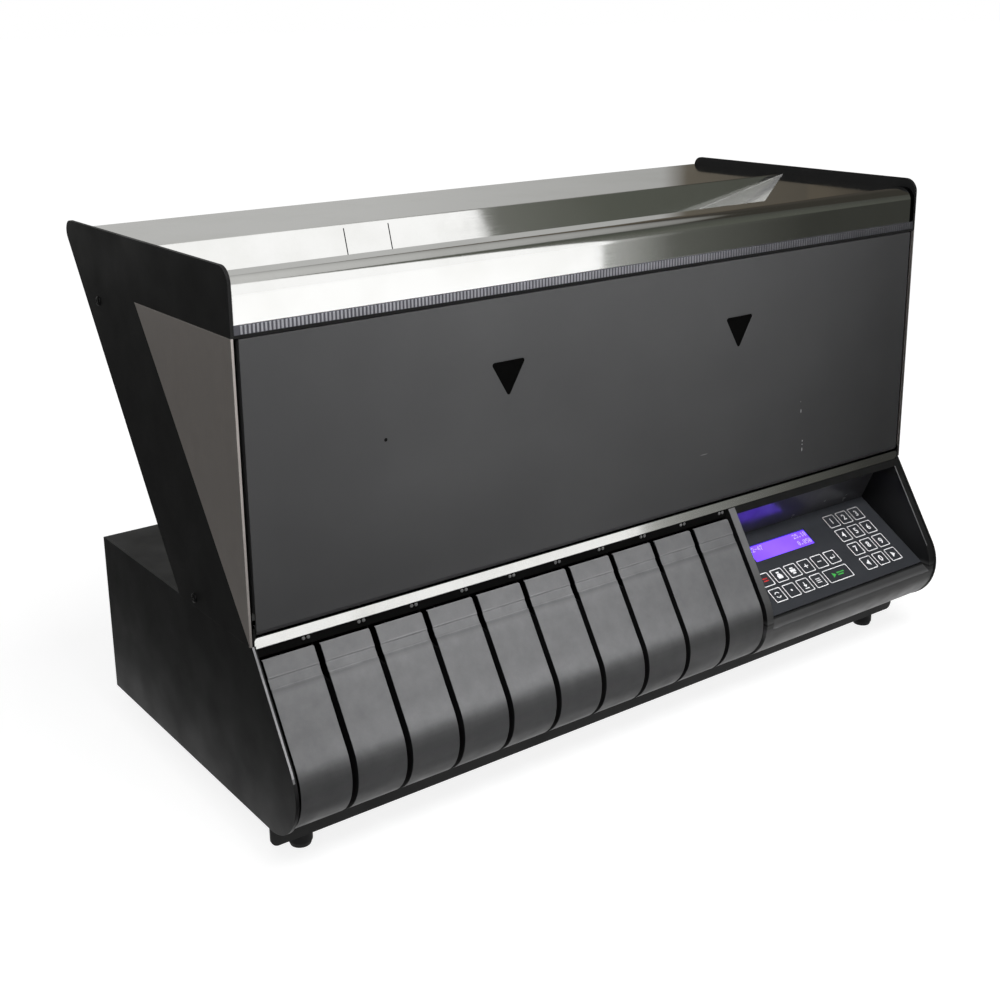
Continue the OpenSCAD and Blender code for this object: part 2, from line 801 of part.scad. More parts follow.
// The keypad overlay, with an opening for each key and for the display
module keypad_overlay() color(graphite)
  on_keypad()
    linear_extrude(overlay_t)
      difference() {
        translate([overlay_x, run_gap]) square([overlay_end - overlay_x, keypad_l]);
        for (col = [0 : num_cols - 1], row = [0 : keypad_rows - 1])
          key_hole(num_key(col, row));
        for (col = [0 : func_cols - 1])
          key_hole(func_key(col, 1));
        for (col = [0 : func_cols - start_cols - 1])
          key_hole(func_key(col, 0));
        key_hole(start_at, wide_key);
        translate(display_at) square([display_w, display_h], center = true);
      }

// The backlit display behind its window
module display() color([0.5, 0.35, 0.95])
  on_keypad()
    translate([display_at.x, display_at.y, display_t / 2])
      cube([display_w, display_h, display_t], center = true);

// Round-headed case screws on both sides and on the drawer header
module case_screws() color(black) {
  for (side = [-1, 1]) {
    x_top = side > 0 ? half_w : -half_w - screw_h;
    bar_x(x_top, plate_rear(z_screw) - screw_inset, z_screw, screw_r, screw_h);
    bar_x(x_top, y_front + plate_foot - screw_inset, z_base + 2 * screw_r, screw_r, screw_h);
  }
  for (i = [1 : drawer_count], pair = [-1, 1])
    bar_y(
      cell_x + i * drawer_pitch + stud_at + pair * stud_pitch / 2, y_front + sheet_t - stud_h,
      z_head + header_h / 2, stud_r, stud_h
    );
}

// The mouth of the mains socket
module socket_outline() {
  x = socket_w / 2;
  z = socket_h / 2;
  polygon([
    [-x, -z], [x, -z], [x, z - socket_cut], [x - socket_cut, z], [socket_cut - x, z], [-x, z - socket_cut]
  ]);
}

// The mains inlet module in the rear wall, with the frame of the power switch
module power_inlet() color(rubber)
  difference() {
    union() {
      along_y(y_rear - inlet_d, inlet_d)
        translate([inlet_x, inlet_z]) square([inlet_w - run_gap, inlet_h - run_gap], center = true);
      along_y(y_rear, bezel_t)
        translate([inlet_x, inlet_z]) rounded_rect(inlet_w + 2 * bezel_w, inlet_h + 2 * bezel_w, bezel_w);
    }
    along_y(y_rear - inlet_d + socket_wall, inlet_d)
      translate([inlet_x, inlet_z - inlet_h / 4])
        difference() {
          socket_outline();
          for (i = [-1 : 1])
            translate([i * prong_x, prong_w * (0.5 - abs(i))]) square([prong_w, prong_h], center = true);
        }
    bar_x(inlet_x - rocker_w / 2 - run_gap, y_rocker, z_rocker, rocker_r + run_gap, rocker_w + 2 * run_gap);
    bar_x(inlet_x - inlet_w / 2 + pivot_wall, y_rocker, z_rocker, hinge_r + shaft_clear, pivot_l + 2);
  }

// The rocker of the power switch, on its pivot pin
module power_switch() color(black) {
  bar_x(inlet_x - pivot_l / 2, y_rocker, z_rocker, hinge_r, pivot_l);
  intersection() {
    bar_x(inlet_x - rocker_w / 2, y_rocker, z_rocker, rocker_r, rocker_w);
    translate([inlet_x, y_rocker, z_rocker])
      rotate([-rocker_throw / 2, 0, 0])
        translate([-rocker_w, -hinge_r * 2, -rocker_h / 2]) cube([2 * rocker_w, 2 * rocker_r, rocker_h]);
  }
}

// The outline of the feed belt round its two rollers
module belt_loop(r) {
  translate([x_idle, z_roller - r]) square([roller_span, 2 * r]);
  for (x = [x_idle, x_drive])
    translate([x, z_roller]) circle(r);
}

module feed_belt() color(rubber)
  along_y(belt_y, belt_w)
    difference() {
      belt_loop(belt_r);
      belt_loop(roller_r + run_gap);
    }

// A feed roller with its shaft
module roller(x, tail) color(steel) {
  bar_y(x, belt_y, z_roller, roller_r, belt_w);
  bar_y(x, y_floor_front - sheet_t / 2 - shaft_end, z_roller, shaft_r, floor_d + sheet_t + shaft_end + tail);
}

module drive_roller() roller(x_drive, shaft_over);

module idle_roller() roller(x_idle, shaft_end);

// The feed motor and its gearbox, on the hopper's rear skirt
module feed_motor() color(graphite) {
  y = y_floor_rear + sheet_t / 2;
  difference() {
    box(
      [x_drive - gearbox_h / 2, y, z_roller - gearbox_h / 2],
      [x_drive + gearbox_h / 2, y + gear_d, z_roller + shaft_r * 3]
    );
    bar_y(x_drive, y - 1, z_roller, shaft_r + shaft_clear, shaft_over + 2);
  }
  bar_y(x_drive, y + gear_d, z_roller - shaft_r, motor_r - shaft_r, motor_l);
}

// The sorting rail: an inclined ledge with a wider slot over each drawer, and a chute under each slot
module sort_rail() color(steel) {
  along_y(rail_back - rail_t, rail_t)
    polygon([
      [cell_x, z_base - sheet_t], [cell_end, z_base - sheet_t],
      [cell_end, z_rail_high + rail_rise], [cell_x, z_rail_low + rail_rise]
    ]);
  difference() {
    along_y(rail_y, rail_d)
      polygon([
        [cell_x, z_rail_low], [cell_end, z_rail_high],
        [cell_end, z_rail_high - rail_t], [cell_x, z_rail_low - rail_t]
      ]);
    for (i = [1 : drawer_count]) {
      slot = slot_first + (slot_last - slot_first) * (drawer_count - i) / (drawer_count - 1);
      x = cell_x + (i - 0.5) * drawer_pitch;
      y = rail_back - rail_t - slot_ledge;
      box([x - slot / 2 - slot_side, y - slot, chute_top], [x + slot / 2 + slot_side, y, z_top]);
    }
  }
  for (i = [1 : drawer_count])
    box(
      [cell_x + i * drawer_pitch - fin_t, rail_y + header_d, z_base - sheet_t],
      [cell_x + i * drawer_pitch, rail_back, chute_top]
    );
}

// The main board behind the control panel, with its supply, on four spacers
module main_board() color([0.1, 0.35, 0.2]) {
  x0 = x_ctl + board_margin;
  x1 = x_inner - board_margin;
  y0 = y_front + housing_reach + board_margin;
  y1 = y_rear - 3 * board_margin;
  z0 = z_deck + board_lift;
  for (x = [x0 + spacer_in, x1 - spacer_in], y = [y0 + spacer_in, y1 - spacer_in])
    translate([x, y, z_deck]) cylinder(r = spacer_in / 2, h = board_lift);
  box([x0, y0, z0], [x1, y1, z0 + board_t]);
  translate([x0 + board_margin, y0 + board_margin, z0]) cube(supply);
  translate([x0 + 2 * board_margin + supply.x, y0 + board_margin, z0]) cube(heat_sink);
  for (i = [1 : 3])
    translate([x1 - i * cap_h, y0 + board_margin, z0]) cylinder(r = cap_r, h = cap_h);
  translate([x1 - board_margin - header_strip.x, y1 - board_margin, z0]) cube(header_strip);
}

base_pan();
base_side_left();
base_side_right();
base_cover();
upper_side_left();
upper_side_right();
side_trim_left();
side_trim_right();
rear_panel();
hopper();
panel_seal();
front_panel();
sill_strip();
drawer_rack();
for (i = [1 : drawer_count])
  drawer(i);
control_housing();
keypad_overlay();
display();
feet();
case_screws();
power_inlet();
power_switch();
feed_belt();
drive_roller();
idle_roller();
feed_motor();
sort_rail();
main_board();
for (i = [1 : 9])
  key_cap(num_key((i - 1) % 3, 3 - floor((i - 1) / 3)));
for (col = [0 : num_cols - 1])
  key_cap(num_key(col, 0));
for (col = [0 : func_cols - 1])
  key_cap(func_key(col, 1));
for (col = [0 : func_cols - start_cols - 1])
  key_cap(func_key(col, 0));
key_cap(start_at, wide_key);  // key_start
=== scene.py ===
from math import atan2, cos, degrees, pi, radians, sin

import bmesh
import bpy
from mathutils import Matrix, Vector


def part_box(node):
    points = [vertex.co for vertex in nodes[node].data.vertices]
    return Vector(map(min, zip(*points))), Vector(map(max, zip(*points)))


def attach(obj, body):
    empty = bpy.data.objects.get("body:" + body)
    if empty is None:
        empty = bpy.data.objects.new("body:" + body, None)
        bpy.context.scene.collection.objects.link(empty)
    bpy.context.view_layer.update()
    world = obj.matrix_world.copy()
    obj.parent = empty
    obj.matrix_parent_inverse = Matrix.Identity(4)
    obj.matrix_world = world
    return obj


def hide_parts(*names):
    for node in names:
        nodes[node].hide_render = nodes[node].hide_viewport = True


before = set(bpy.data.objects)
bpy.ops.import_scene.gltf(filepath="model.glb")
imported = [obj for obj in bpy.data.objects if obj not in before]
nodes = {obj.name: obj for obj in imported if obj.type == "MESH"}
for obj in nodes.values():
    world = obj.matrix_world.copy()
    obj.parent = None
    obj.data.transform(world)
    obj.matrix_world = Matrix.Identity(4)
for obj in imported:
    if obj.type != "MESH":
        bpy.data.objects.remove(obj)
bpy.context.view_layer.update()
scene = bpy.context.scene
scene.view_settings.view_transform = "Standard"
MM = 0.001

# Edges of the machine that places are counted from
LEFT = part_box("upper_side_left")[0].x
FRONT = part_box("panel_seal")[0].y
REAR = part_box("base_side_left")[1].y
SIDE_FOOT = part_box("base_side_left")[0].z
DRAWER_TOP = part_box("drawer_1")[1].z

# How brightly the display is lit
DISPLAY_GLOW = 2.0

# The drawers' slope, and painted light and shade down a front at some millimetres under its top:
# painted shade on the nose and the slope, a painted lift over the crease step's shaded line,
# and a painted shade band under the step, wavy along the edge of the film near the top
DRAWER_SLOPE = radians(32)
OFF_DRAWER = (0, -cos(DRAWER_SLOPE), sin(DRAWER_SLOPE))
DRAWER_SHADE = (
    (124, 0.7), (120, 0.33), (112, 0.75), (102, 0.74), (92, 0.42), (87, 0.33),
    (82, 0.34), (78, 0.5), (75, 0.72), (72, 0.94), (68, 1.0), (62, 0.98),
    (52, 0.88), (32, 0.88), (24, 0.96), (22, 0.85), (20.3, 0.7), (18.8, 0.9),
    (15, 0.94), (13.2, 0.94), (12.7, 1.15), (11.5, 1.25), (10.9, 0.88), (0, 0.86),
)

# The grain of brushed steel: lines along X, Z or Y
GRAIN_ALONG, GRAIN_UPRIGHT, GRAIN_DEEP = (7, 900, 900), (900, 900, 9), (900, 9, 900)

# The keypad's slope, with the directions up it and straight off it
TILT = radians(31)
UP_SLOPE = Vector((0, cos(TILT), sin(TILT)))
OFF_SLOPE = Vector((0, -sin(TILT), cos(TILT)))


def on_slope(name):
    """The middle of a flat node's upper face on the slope, its width and its length up the slope."""
    points = [v.co for v in nodes[name].data.vertices]
    xs = [p.x for p in points]
    us = [p.dot(UP_SLOPE) for p in points]
    top = max(p.dot(OFF_SLOPE) for p in points)
    across = Vector(((min(xs) + max(xs)) / 2, 0, 0))
    middle = across + UP_SLOPE * (min(us) + max(us)) / 2 + OFF_SLOPE * top
    return middle, max(xs) - min(xs), max(us) - min(us)


def photo_camera():
    """The camera at the photograph's place, with the lens and shift of its frame."""
    data = bpy.data.cameras.new("photo_camera")
    data.sensor_fit = "HORIZONTAL"
    data.sensor_width = 36
    data.lens = 50.7
    data.shift_x = 0.02695
    data.shift_y = -0.09578
    data.clip_end = 60
    camera = bpy.data.objects.new("photo_camera", data)
    camera.location = (LEFT - 0.42577, REAR - 1.18227, SIDE_FOOT + 0.60868)
    camera.rotation_euler = [radians(a) for a in (74.3304, 0.9076, -35.8325)]
    scene.collection.objects.link(camera)
    scene.camera = camera


class Tree:
    """A node tree that is written node by node, each with what feeds its sockets."""

    def __init__(self, tree):
        self.tree = tree

    def feed(self, target, source):
        """Links a socket, or sets its value; a colour may come as three values."""
        if isinstance(source, bpy.types.NodeSocket):
            self.tree.links.new(source, target)
        elif target.type == "RGBA" and len(source) == 3:
            target.default_value = (*source, 1)
        else:
            target.default_value = source

    def node(self, kind, links=(), **values):
        made = self.tree.nodes.new(kind)
        for name, value in values.items():
            setattr(made, name, value)
        for socket, source in dict(links).items():
            self.feed(made.inputs[socket], source)
        return made

    def number(self, operation, *values):
        return self.node("ShaderNodeMath", enumerate(values), operation=operation).outputs[0]

    def vector(self, operation, *values):
        return self.node("ShaderNodeVectorMath", enumerate(values), operation=operation).outputs

    def multiply(self, first, second):
        return self.number("MULTIPLY", first, second)

    def add(self, first, second):
        return self.number("ADD", first, second)

    def most(self, first, second):
        return self.number("MAXIMUM", first, second)


class Finish(Tree):
    """A procedural material on Object coordinates."""

    def __init__(self, name, roughness=0.5, metallic=0.0, specular=0.5):
        self.material = bpy.data.materials.new(name)
        self.material.use_nodes = True
        super().__init__(self.material.node_tree)
        self.shader = self.tree.nodes["Principled BSDF"]
        self.set("Roughness", roughness)
        self.set("Metallic", metallic)
        self.set("Specular IOR Level", specular)
        self.place = self.node("ShaderNodeTexCoord").outputs["Object"]
        self.normal = None

    def set(self, socket, source):
        self.feed(self.shader.inputs[socket], source)
        return self

    def surface(self, source):
        """Shows something else than the finish's own shader."""
        self.feed(self.tree.nodes["Material Output"].inputs["Surface"], source)

    def stretched(self, scale):
        return self.node("ShaderNodeMapping", {"Vector": self.place, "Scale": scale}).outputs["Vector"]

    def noise(self, scale, detail=3.0, place=None, rough=0.5):
        links = {"Vector": place or self.place, "Scale": scale, "Detail": detail, "Roughness": rough}
        return self.node("ShaderNodeTexNoise", links).outputs["Fac"]

    def ramp(self, source, stops):
        made = self.node("ShaderNodeValToRGB", {"Fac": source})
        elements = made.color_ramp.elements
        while len(elements) < len(stops):
            elements.new(0.5)
        for element, (at, colour) in zip(elements, stops):
            element.position = at
            element.color = (*colour, 1)
        return made.outputs["Color"]

    def two_tone(self, source, low, high):
        return self.ramp(source, [(0.3, low), (0.7, high)])

    def grey_ramp(self, source, low, high, start=0.0, end=1.0):
        links = {"Value": source, "From Min": start, "From Max": end, "To Min": low, "To Max": high}
        return self.node("ShaderNodeMapRange", links).outputs["Result"]

    def past(self, source, edge, soft):
        """None short of an edge, full past it."""
        return self.grey_ramp(source, 0, 1, edge - soft, edge + soft)

    def short_of(self, source, edge, soft):
        """Full short of an edge, none past it."""
        return self.grey_ramp(source, 1, 0, edge - soft, edge + soft)

    def blend(self, amount, first, second):
        sockets = {0: amount, 6: first, 7: second}
        return self.node("ShaderNodeMix", sockets, data_type="RGBA").outputs[2]

    def either_side(self, source):
        return self.number("ABSOLUTE", source)

    def length(self, source):
        return self.vector("LENGTH", source)["Value"]

    def along(self, source, direction):
        """How far a vector reaches in one direction."""
        return self.vector("DOT_PRODUCT", source, direction)["Value"]

    def scaled(self, colour, factor):
        links = {0: colour, "Scale": factor}
        return self.node("ShaderNodeVectorMath", links, operation="SCALE").outputs[0]

    def axes(self):
        return self.node("ShaderNodeSeparateXYZ", {"Vector": self.place}).outputs

    def spot(self, centre, reach):
        """Full inside an egg round a place, none outside it."""
        share = self.vector("DIVIDE", self.vector("SUBTRACT", self.place, centre)[0], reach)[0]
        return self.grey_ramp(self.length(share), 1, 0, 0.55, 1.0)

    def facing(self, direction):
        """How squarely a face looks in one direction."""
        return self.along(self.node("ShaderNodeNewGeometry").outputs["True Normal"], direction)

    def tone(self):
        """What colours the finish so far, for a later layer to lie on."""
        return self.shader.inputs["Base Color"].links[0].from_socket

    def colour(self, source):
        return self.set("Base Color", source)

    def roughness(self, source):
        return self.set("Roughness", source)

    def tone_run(self, share, tones):
        return self.ramp(share, [(at, (tone, tone, tone)) for at, tone in tones])

    def shaded(self, direction, start, end, tones):
        """Lays painted light and shade over the colour: lighter and darker tones along one direction."""
        share = self.grey_ramp(self.along(self.place, direction), 0, 1, start, end)
        return self.colour(self.scaled(self.tone(), self.tone_run(share, tones)))

    def soft_edges(self, radius):
        self.normal = self.node("ShaderNodeBevel", {"Radius": radius}, samples=4).outputs["Normal"]
        return self.set("Normal", self.normal)

    def bump(self, height, depth, strength=1.0):
        links = {"Height": height, "Distance": depth, "Strength": strength}
        if self.normal:
            links["Normal"] = self.normal
        self.normal = self.node("ShaderNodeBump", links).outputs["Normal"]
        return self.set("Normal", self.normal)


def powder_coat(name, low, high, roughness, specular, dust=0.0):
    """A satin powder coat: fine orange peel, uneven sheen and a trace of dust."""
    coat = Finish(name, roughness, specular=specular).soft_edges(0.6 * MM)
    cloud = coat.noise(9, 5)
    tone = coat.two_tone(cloud, low, high)
    if dust:
        specks = coat.grey_ramp(coat.noise(2600, 2), 0, dust, 0.63, 0.8)
        tone = coat.blend(specks, tone, (0.16, 0.16, 0.165))
    coat.colour(tone)
    sheen = coat.noise(22, 4)
    coat.roughness(coat.grey_ramp(sheen, roughness - 0.06, roughness + 0.08, 0.3, 0.7))
    return coat.bump(coat.noise(1100, 3), 0.05 * MM, 0.5)


def brushed_steel(name, colour, dark, roughness, grain, lines=0.05, edge=0.5, smear=0.09):
    """Brushed stainless sheet: fine grain lines along one direction, and hand smudges."""
    steel = Finish(name, roughness, metallic=1.0).soft_edges(edge * MM)
    streaks = steel.noise(1, 6, steel.stretched(grain), 0.65)
    smudge = steel.noise(16, 6, rough=0.6)
    steel.colour(steel.blend(steel.grey_ramp(smudge, 0, 0.6, 0.45, 0.75), colour, dark))
    lift = steel.grey_ramp(streaks, -lines, lines, 0.25, 0.75)
    dull = steel.grey_ramp(smudge, roughness - 0.02, roughness + smear, 0.4, 0.72)
    steel.roughness(steel.add(dull, lift))
    across = {"Y": 0.3, "Z": 1.0} if grain == GRAIN_ALONG else {"X": 1.0, "Y": 0.3}
    tangent = steel.node("ShaderNodeCombineXYZ", across).outputs["Vector"]
    return steel.set("Tangent", tangent).set("Anisotropic", 0.35)


def moulded_plastic(name, low, high, roughness, grain=900, depth=0.06, specular=0.4, blotches=34):
    """A moulded plastic with a fine spark-eroded grain and soft blotches."""
    skin = Finish(name, roughness, specular=specular).soft_edges(0.7 * MM)
    blotch = skin.noise(blotches, 6, rough=0.62)
    skin.colour(skin.ramp(blotch, [(0.28, low), (0.72, high)]))
    sheen = skin.noise(60, 4)
    skin.roughness(skin.grey_ramp(sheen, roughness - 0.07, roughness + 0.07, 0.3, 0.7))
    return skin.bump(skin.noise(grain, 4), depth * MM, 0.6)


def soft_rubber(name, low, high, grain=700):
    """A dull rubber with a coarse skin."""
    rubber = Finish(name, 0.78, specular=0.3).soft_edges(0.5 * MM)
    rubber.colour(rubber.two_tone(rubber.noise(45, 5), low, high))
    return rubber.bump(rubber.noise(grain, 3), 0.08 * MM, 0.6)


def printed_ink(name, colour, glow=0.0):
    """A flat ink, a little worn, that may glow."""
    ink = Finish(name, 0.55)
    worn = tuple(c * 0.72 for c in colour)
    ink.colour(ink.ramp(ink.noise(420, 3), [(0.35, worn), (0.6, colour)]))
    if glow:
        ink.set("Emission Color", colour).set("Emission Strength", glow)
    return ink


# Which way the hopper's ramp faces
OFF_RAMP = (-0.19, 0.25, 0.95)


def hopper_steel():
    """The polished hopper: its ramp is worn matt, and painted shade blacks the right end of its lip."""
    clean, dull = (0.93, 0.93, 0.915), (0.82, 0.82, 0.79)
    end_shade_wide, end_shade_deep = 6 * MM, 21 * MM
    steel = brushed_steel("hopper_steel", clean, dull, 0.075, GRAIN_ALONG, 0.02, 1.2, 0.03)
    axes = steel.axes()
    # Painted shade: the lip's right end beside the side plate is painted black
    at_end = steel.past(axes["X"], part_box("hopper")[1].x - end_shade_wide, 0.2 * MM)
    end_shade = steel.multiply(at_end, steel.short_of(axes["Y"], FRONT + end_shade_deep, 1 * MM))
    steel.colour(steel.blend(end_shade, steel.tone(), (0.01, 0.01, 0.01)))
    ramp = steel.past(steel.facing(OFF_RAMP), 0.97, 0.01)
    return steel.set("Metallic", steel.grey_ramp(ramp, 1.0, 0.56))


def sill_steel():
    """The polished sill: its face ends in rounded corners, and its hinge ears are blacked."""
    clean, dull = (0.65, 0.65, 0.635), (0.57, 0.565, 0.54)
    steel = brushed_steel("sill_steel", clean, dull, 0.12, GRAIN_ALONG, 0.03, 0.5, 0.04)
    axes = steel.axes()
    end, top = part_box("sill_strip")[1].x - 1 * MM, SIDE_FOOT + 155.4 * MM
    corner = 3 * MM
    past_end = steel.most(steel.add(steel.either_side(axes["X"]), corner - end), 0.0)
    past_top = steel.most(steel.add(axes["Z"], corner - top), 0.0)
    past_both = steel.node("ShaderNodeCombineXYZ", {"X": past_end, "Z": past_top}).outputs[0]
    blacked = steel.past(steel.length(past_both), corner, 0.2 * MM)
    return steel.colour(steel.blend(blacked, steel.tone(), (0.008, 0.008, 0.008)))


def trim_steel():
    """The warm side trim: on its front face, a strip on its outer part is a darker copy of the steel
    with painted shade that deepens downwards, and the rest of the front is black.
    """
    clean, dull = (0.68, 0.63, 0.6), (0.55, 0.505, 0.48)
    steel = brushed_steel("trim_steel", clean, dull, 0.38, GRAIN_UPRIGHT, 0.08)
    axes = steel.axes()
    low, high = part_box("side_trim_left")
    front_shade_wide = 2 * MM
    outer = steel.past(steel.either_side(axes["X"]), -low.x - front_shade_wide, 0.1 * MM)
    # Painted shade: the front face's outer strip darkens downwards
    front_shade = steel.multiply(outer, steel.grey_ramp(axes["Z"], 0.3, 0.62, low.z, high.z))
    front = steel.past(steel.facing((0, -1, 0)), 0.85, 0.05)
    return steel.colour(steel.blend(front, steel.tone(), steel.scaled(steel.tone(), front_shade)))


# Painted shade on the panel from end to end and from foot to top, with a painted lift on its rolled foot
PANEL_END_SHADE = ((0.04, 0.82), (0.17, 0.94), (0.3, 0.99), (0.43, 1), (0.7, 0.97), (0.83, 0.84), (0.96, 0.59))
PANEL_RISE_SHADE = (
    (0, 1.9), (0.009, 1.4), (0.018, 0.76), (0.07, 0.74), (0.25, 0.8),
    (0.43, 0.89), (0.6, 0.91), (0.78, 0.95), (0.96, 1),
)

# Scuffs on the panel, in millimetres: place from the machine's left and over
# the side plates' foot, reach across and up; and their lightness
SCUFFS = (
    (607.2, 194.6, 0.75, 1.1, 0.5), (607.2, 191, 0.75, 0.8, 0.5),
    (607.2, 185.8, 0.75, 2.3, 0.5), (603.2, 225.8, 0.75, 2.3, 0.45),
    (602.2, 235.5, 0.75, 0.8, 0.2), (472.2, 207.3, 5.6, 0.5, 0.22),
)


def panel_coat():
    """The front panel's graphite coat: painted shade darkens it towards its ends and low down,
    a painted lift makes its rolled foot paler, and it has a few short scuffs."""
    dark, light = (0.084, 0.084, 0.086), (0.096, 0.096, 0.098)
    coat = powder_coat("panel_graphite_coat", dark, light, 0.42, 0.15, 0.1)
    low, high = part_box("front_panel")
    # Painted shade towards the panel's ends and low down, and a painted lift on its rolled foot
    coat.shaded((1, 0, 0), low.x, high.x, PANEL_END_SHADE)
    coat.shaded((0, 0, 1), low.z, high.z, PANEL_RISE_SHADE)
    scuff_deep = 1.2 * MM
    for across, height, wide, tall, tone in SCUFFS:
        place = (LEFT + across * MM, FRONT, SIDE_FOOT + height * MM)
        scuff = coat.spot(place, (wide * MM, scuff_deep, tall * MM))
        coat.colour(coat.blend(scuff, coat.tone(), (tone, tone, tone)))
    return coat


# Painted shade on the seal, from left to right
SEAL_SHADE = ((0, 0.95), (0.4, 0.86), (0.6, 0.77), (0.68, 0.6), (0.8, 0.52), (0.9, 0.42), (1, 0.4))


def rib_rubber():
    """The seal's ribs, paler than the seal as a painted highlight, and darker towards the right as painted
    shade.
    """
    rubber = soft_rubber("seal_rib_rubber", (0.36, 0.36, 0.39), (0.46, 0.46, 0.5))
    low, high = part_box("panel_seal")
    return rubber.shaded((1, 0, 0), low.x, high.x, [(at, tone * tone) for at, tone in SEAL_SHADE])


def seal_rubber():
    """The seal over the front panel: grey above, with painted shade towards the right,
    and a painted black shadow along its foot.
    """
    rubber = soft_rubber("seal_rubber", (0.085, 0.085, 0.098), (0.105, 0.105, 0.12))
    low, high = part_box("panel_seal")
    # Painted shade darkening the seal towards the right
    rubber.shaded((1, 0, 0), low.x, high.x, SEAL_SHADE)
    # A painted black shadow along the seal's foot
    foot = low.z + 2.5 * MM
    black = rubber.short_of(rubber.axes()["Z"], foot, 0.3 * MM)
    return rubber.colour(rubber.blend(black, rubber.tone(), (0.004, 0.004, 0.004)))


def socket_plastic():
    """The inlet and rocker: black plastic, with brass pins in the socket."""
    dark, light = (0.012, 0.012, 0.012), (0.018, 0.018, 0.018)
    half_wide, half_tall, soft = 1.075 * MM, 2.575 * MM, 0.075 * MM
    pitch, step, drop = 7 * MM, 1 * MM, 13 * MM
    skin = moulded_plastic("socket_plastic", dark, light, 0.5, 900, 0.05)
    low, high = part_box("power_inlet")
    middle_x, middle_z = (low.x + high.x) / 2, (low.z + high.z) / 2 - drop
    axes = skin.axes()
    for place in (-1, 0, 1):
        across = skin.either_side(skin.add(axes["X"], -middle_x - place * pitch))
        rise = skin.either_side(skin.add(axes["Z"], -middle_z - (1 - 2 * abs(place)) * step))
        pin = skin.multiply(skin.short_of(across, half_wide, soft), skin.short_of(rise, half_tall, soft))
        skin.colour(skin.blend(pin, skin.tone(), (0.5, 0.4, 0.2)))
    return skin


# Painted shade on the drawers, from the first to the last
DRAWER_END_SHADE = ((0.05, 0.84), (0.15, 0.94), (0.3, 0.98), (0.45, 1), (0.65, 0.98), (0.85, 0.86), (0.95, 0.78))


def drawer_plastic():
    """Drawers: a mottled grey front, painted light and shade, and a clear film's wavy edge near its top;
    near black on every face that doesn't look out forward.
    """
    dark, light = (0.166, 0.167, 0.171), (0.206, 0.207, 0.211)
    skin = moulded_plastic("drawer_plastic", dark, light, 0.5, 800, 0.09, 0.3, 80)
    axes = skin.axes()
    # Painted light and shade down the front by height under its top, wavy along the film's edge
    wave = skin.grey_ramp(skin.noise(40, 3), -0.7 * MM, 0.7 * MM, 0.25, 0.75)
    reach = DRAWER_SHADE[0][0] * MM
    share = skin.grey_ramp(skin.add(axes["Z"], wave), 0, 1, DRAWER_TOP - reach, DRAWER_TOP)
    tones = skin.tone_run(share, [(1 - under * MM / reach, tone) for under, tone in DRAWER_SHADE])
    skin.colour(skin.scaled(skin.tone(), tones))
    # Painted shade that darkens the drawers towards the first and the last
    skin.shaded((1, 0, 0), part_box("drawer_1")[0].x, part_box("drawer_10")[1].x, DRAWER_END_SHADE)
    front = skin.tone()
    slope = max(v.co.dot(Vector(OFF_DRAWER)) for v in nodes["drawer_1"].data.vertices)
    # Every face that doesn't look out forward, the sides in the gaps and the inside, is near black
    sides = skin.most(skin.facing((1, 0, 0)), skin.facing((-1, 0, 0)))
    outward = skin.past(skin.along(skin.place, OFF_DRAWER), slope - 1.4 * MM, 0.2 * MM)
    ahead = skin.past(skin.facing((0, -1, 0)), 0.3, 0.05)
    top = skin.past(axes["Z"], DRAWER_TOP - 1 * MM, 0.2 * MM)
    faced = skin.most(outward, skin.most(ahead, top))
    outside = skin.short_of(axes["Y"], FRONT + 1.5 * MM, 0.5 * MM)
    shown = skin.multiply(skin.short_of(sides, 0.5, 0.05), skin.multiply(outside, faced))
    body = skin.two_tone(skin.noise(60, 4), (0.008, 0.008, 0.0083), (0.012, 0.012, 0.0123))
    return skin.colour(skin.blend(shown, body, front))


# Painted light and shade on the housing's nose at some millimetres over the side plates' foot,
# with a painted shadow line under the overlay's edge
NOSE_SHADE = (
    (0, 0.6), (28, 0.62), (32, 0.88), (36, 1.15), (39.5, 0.9), (41.5, 0.44),
    (44, 0.45), (44.4, 0.1), (45.8, 0.1), (46.4, 0.58), (60, 0.58),
)


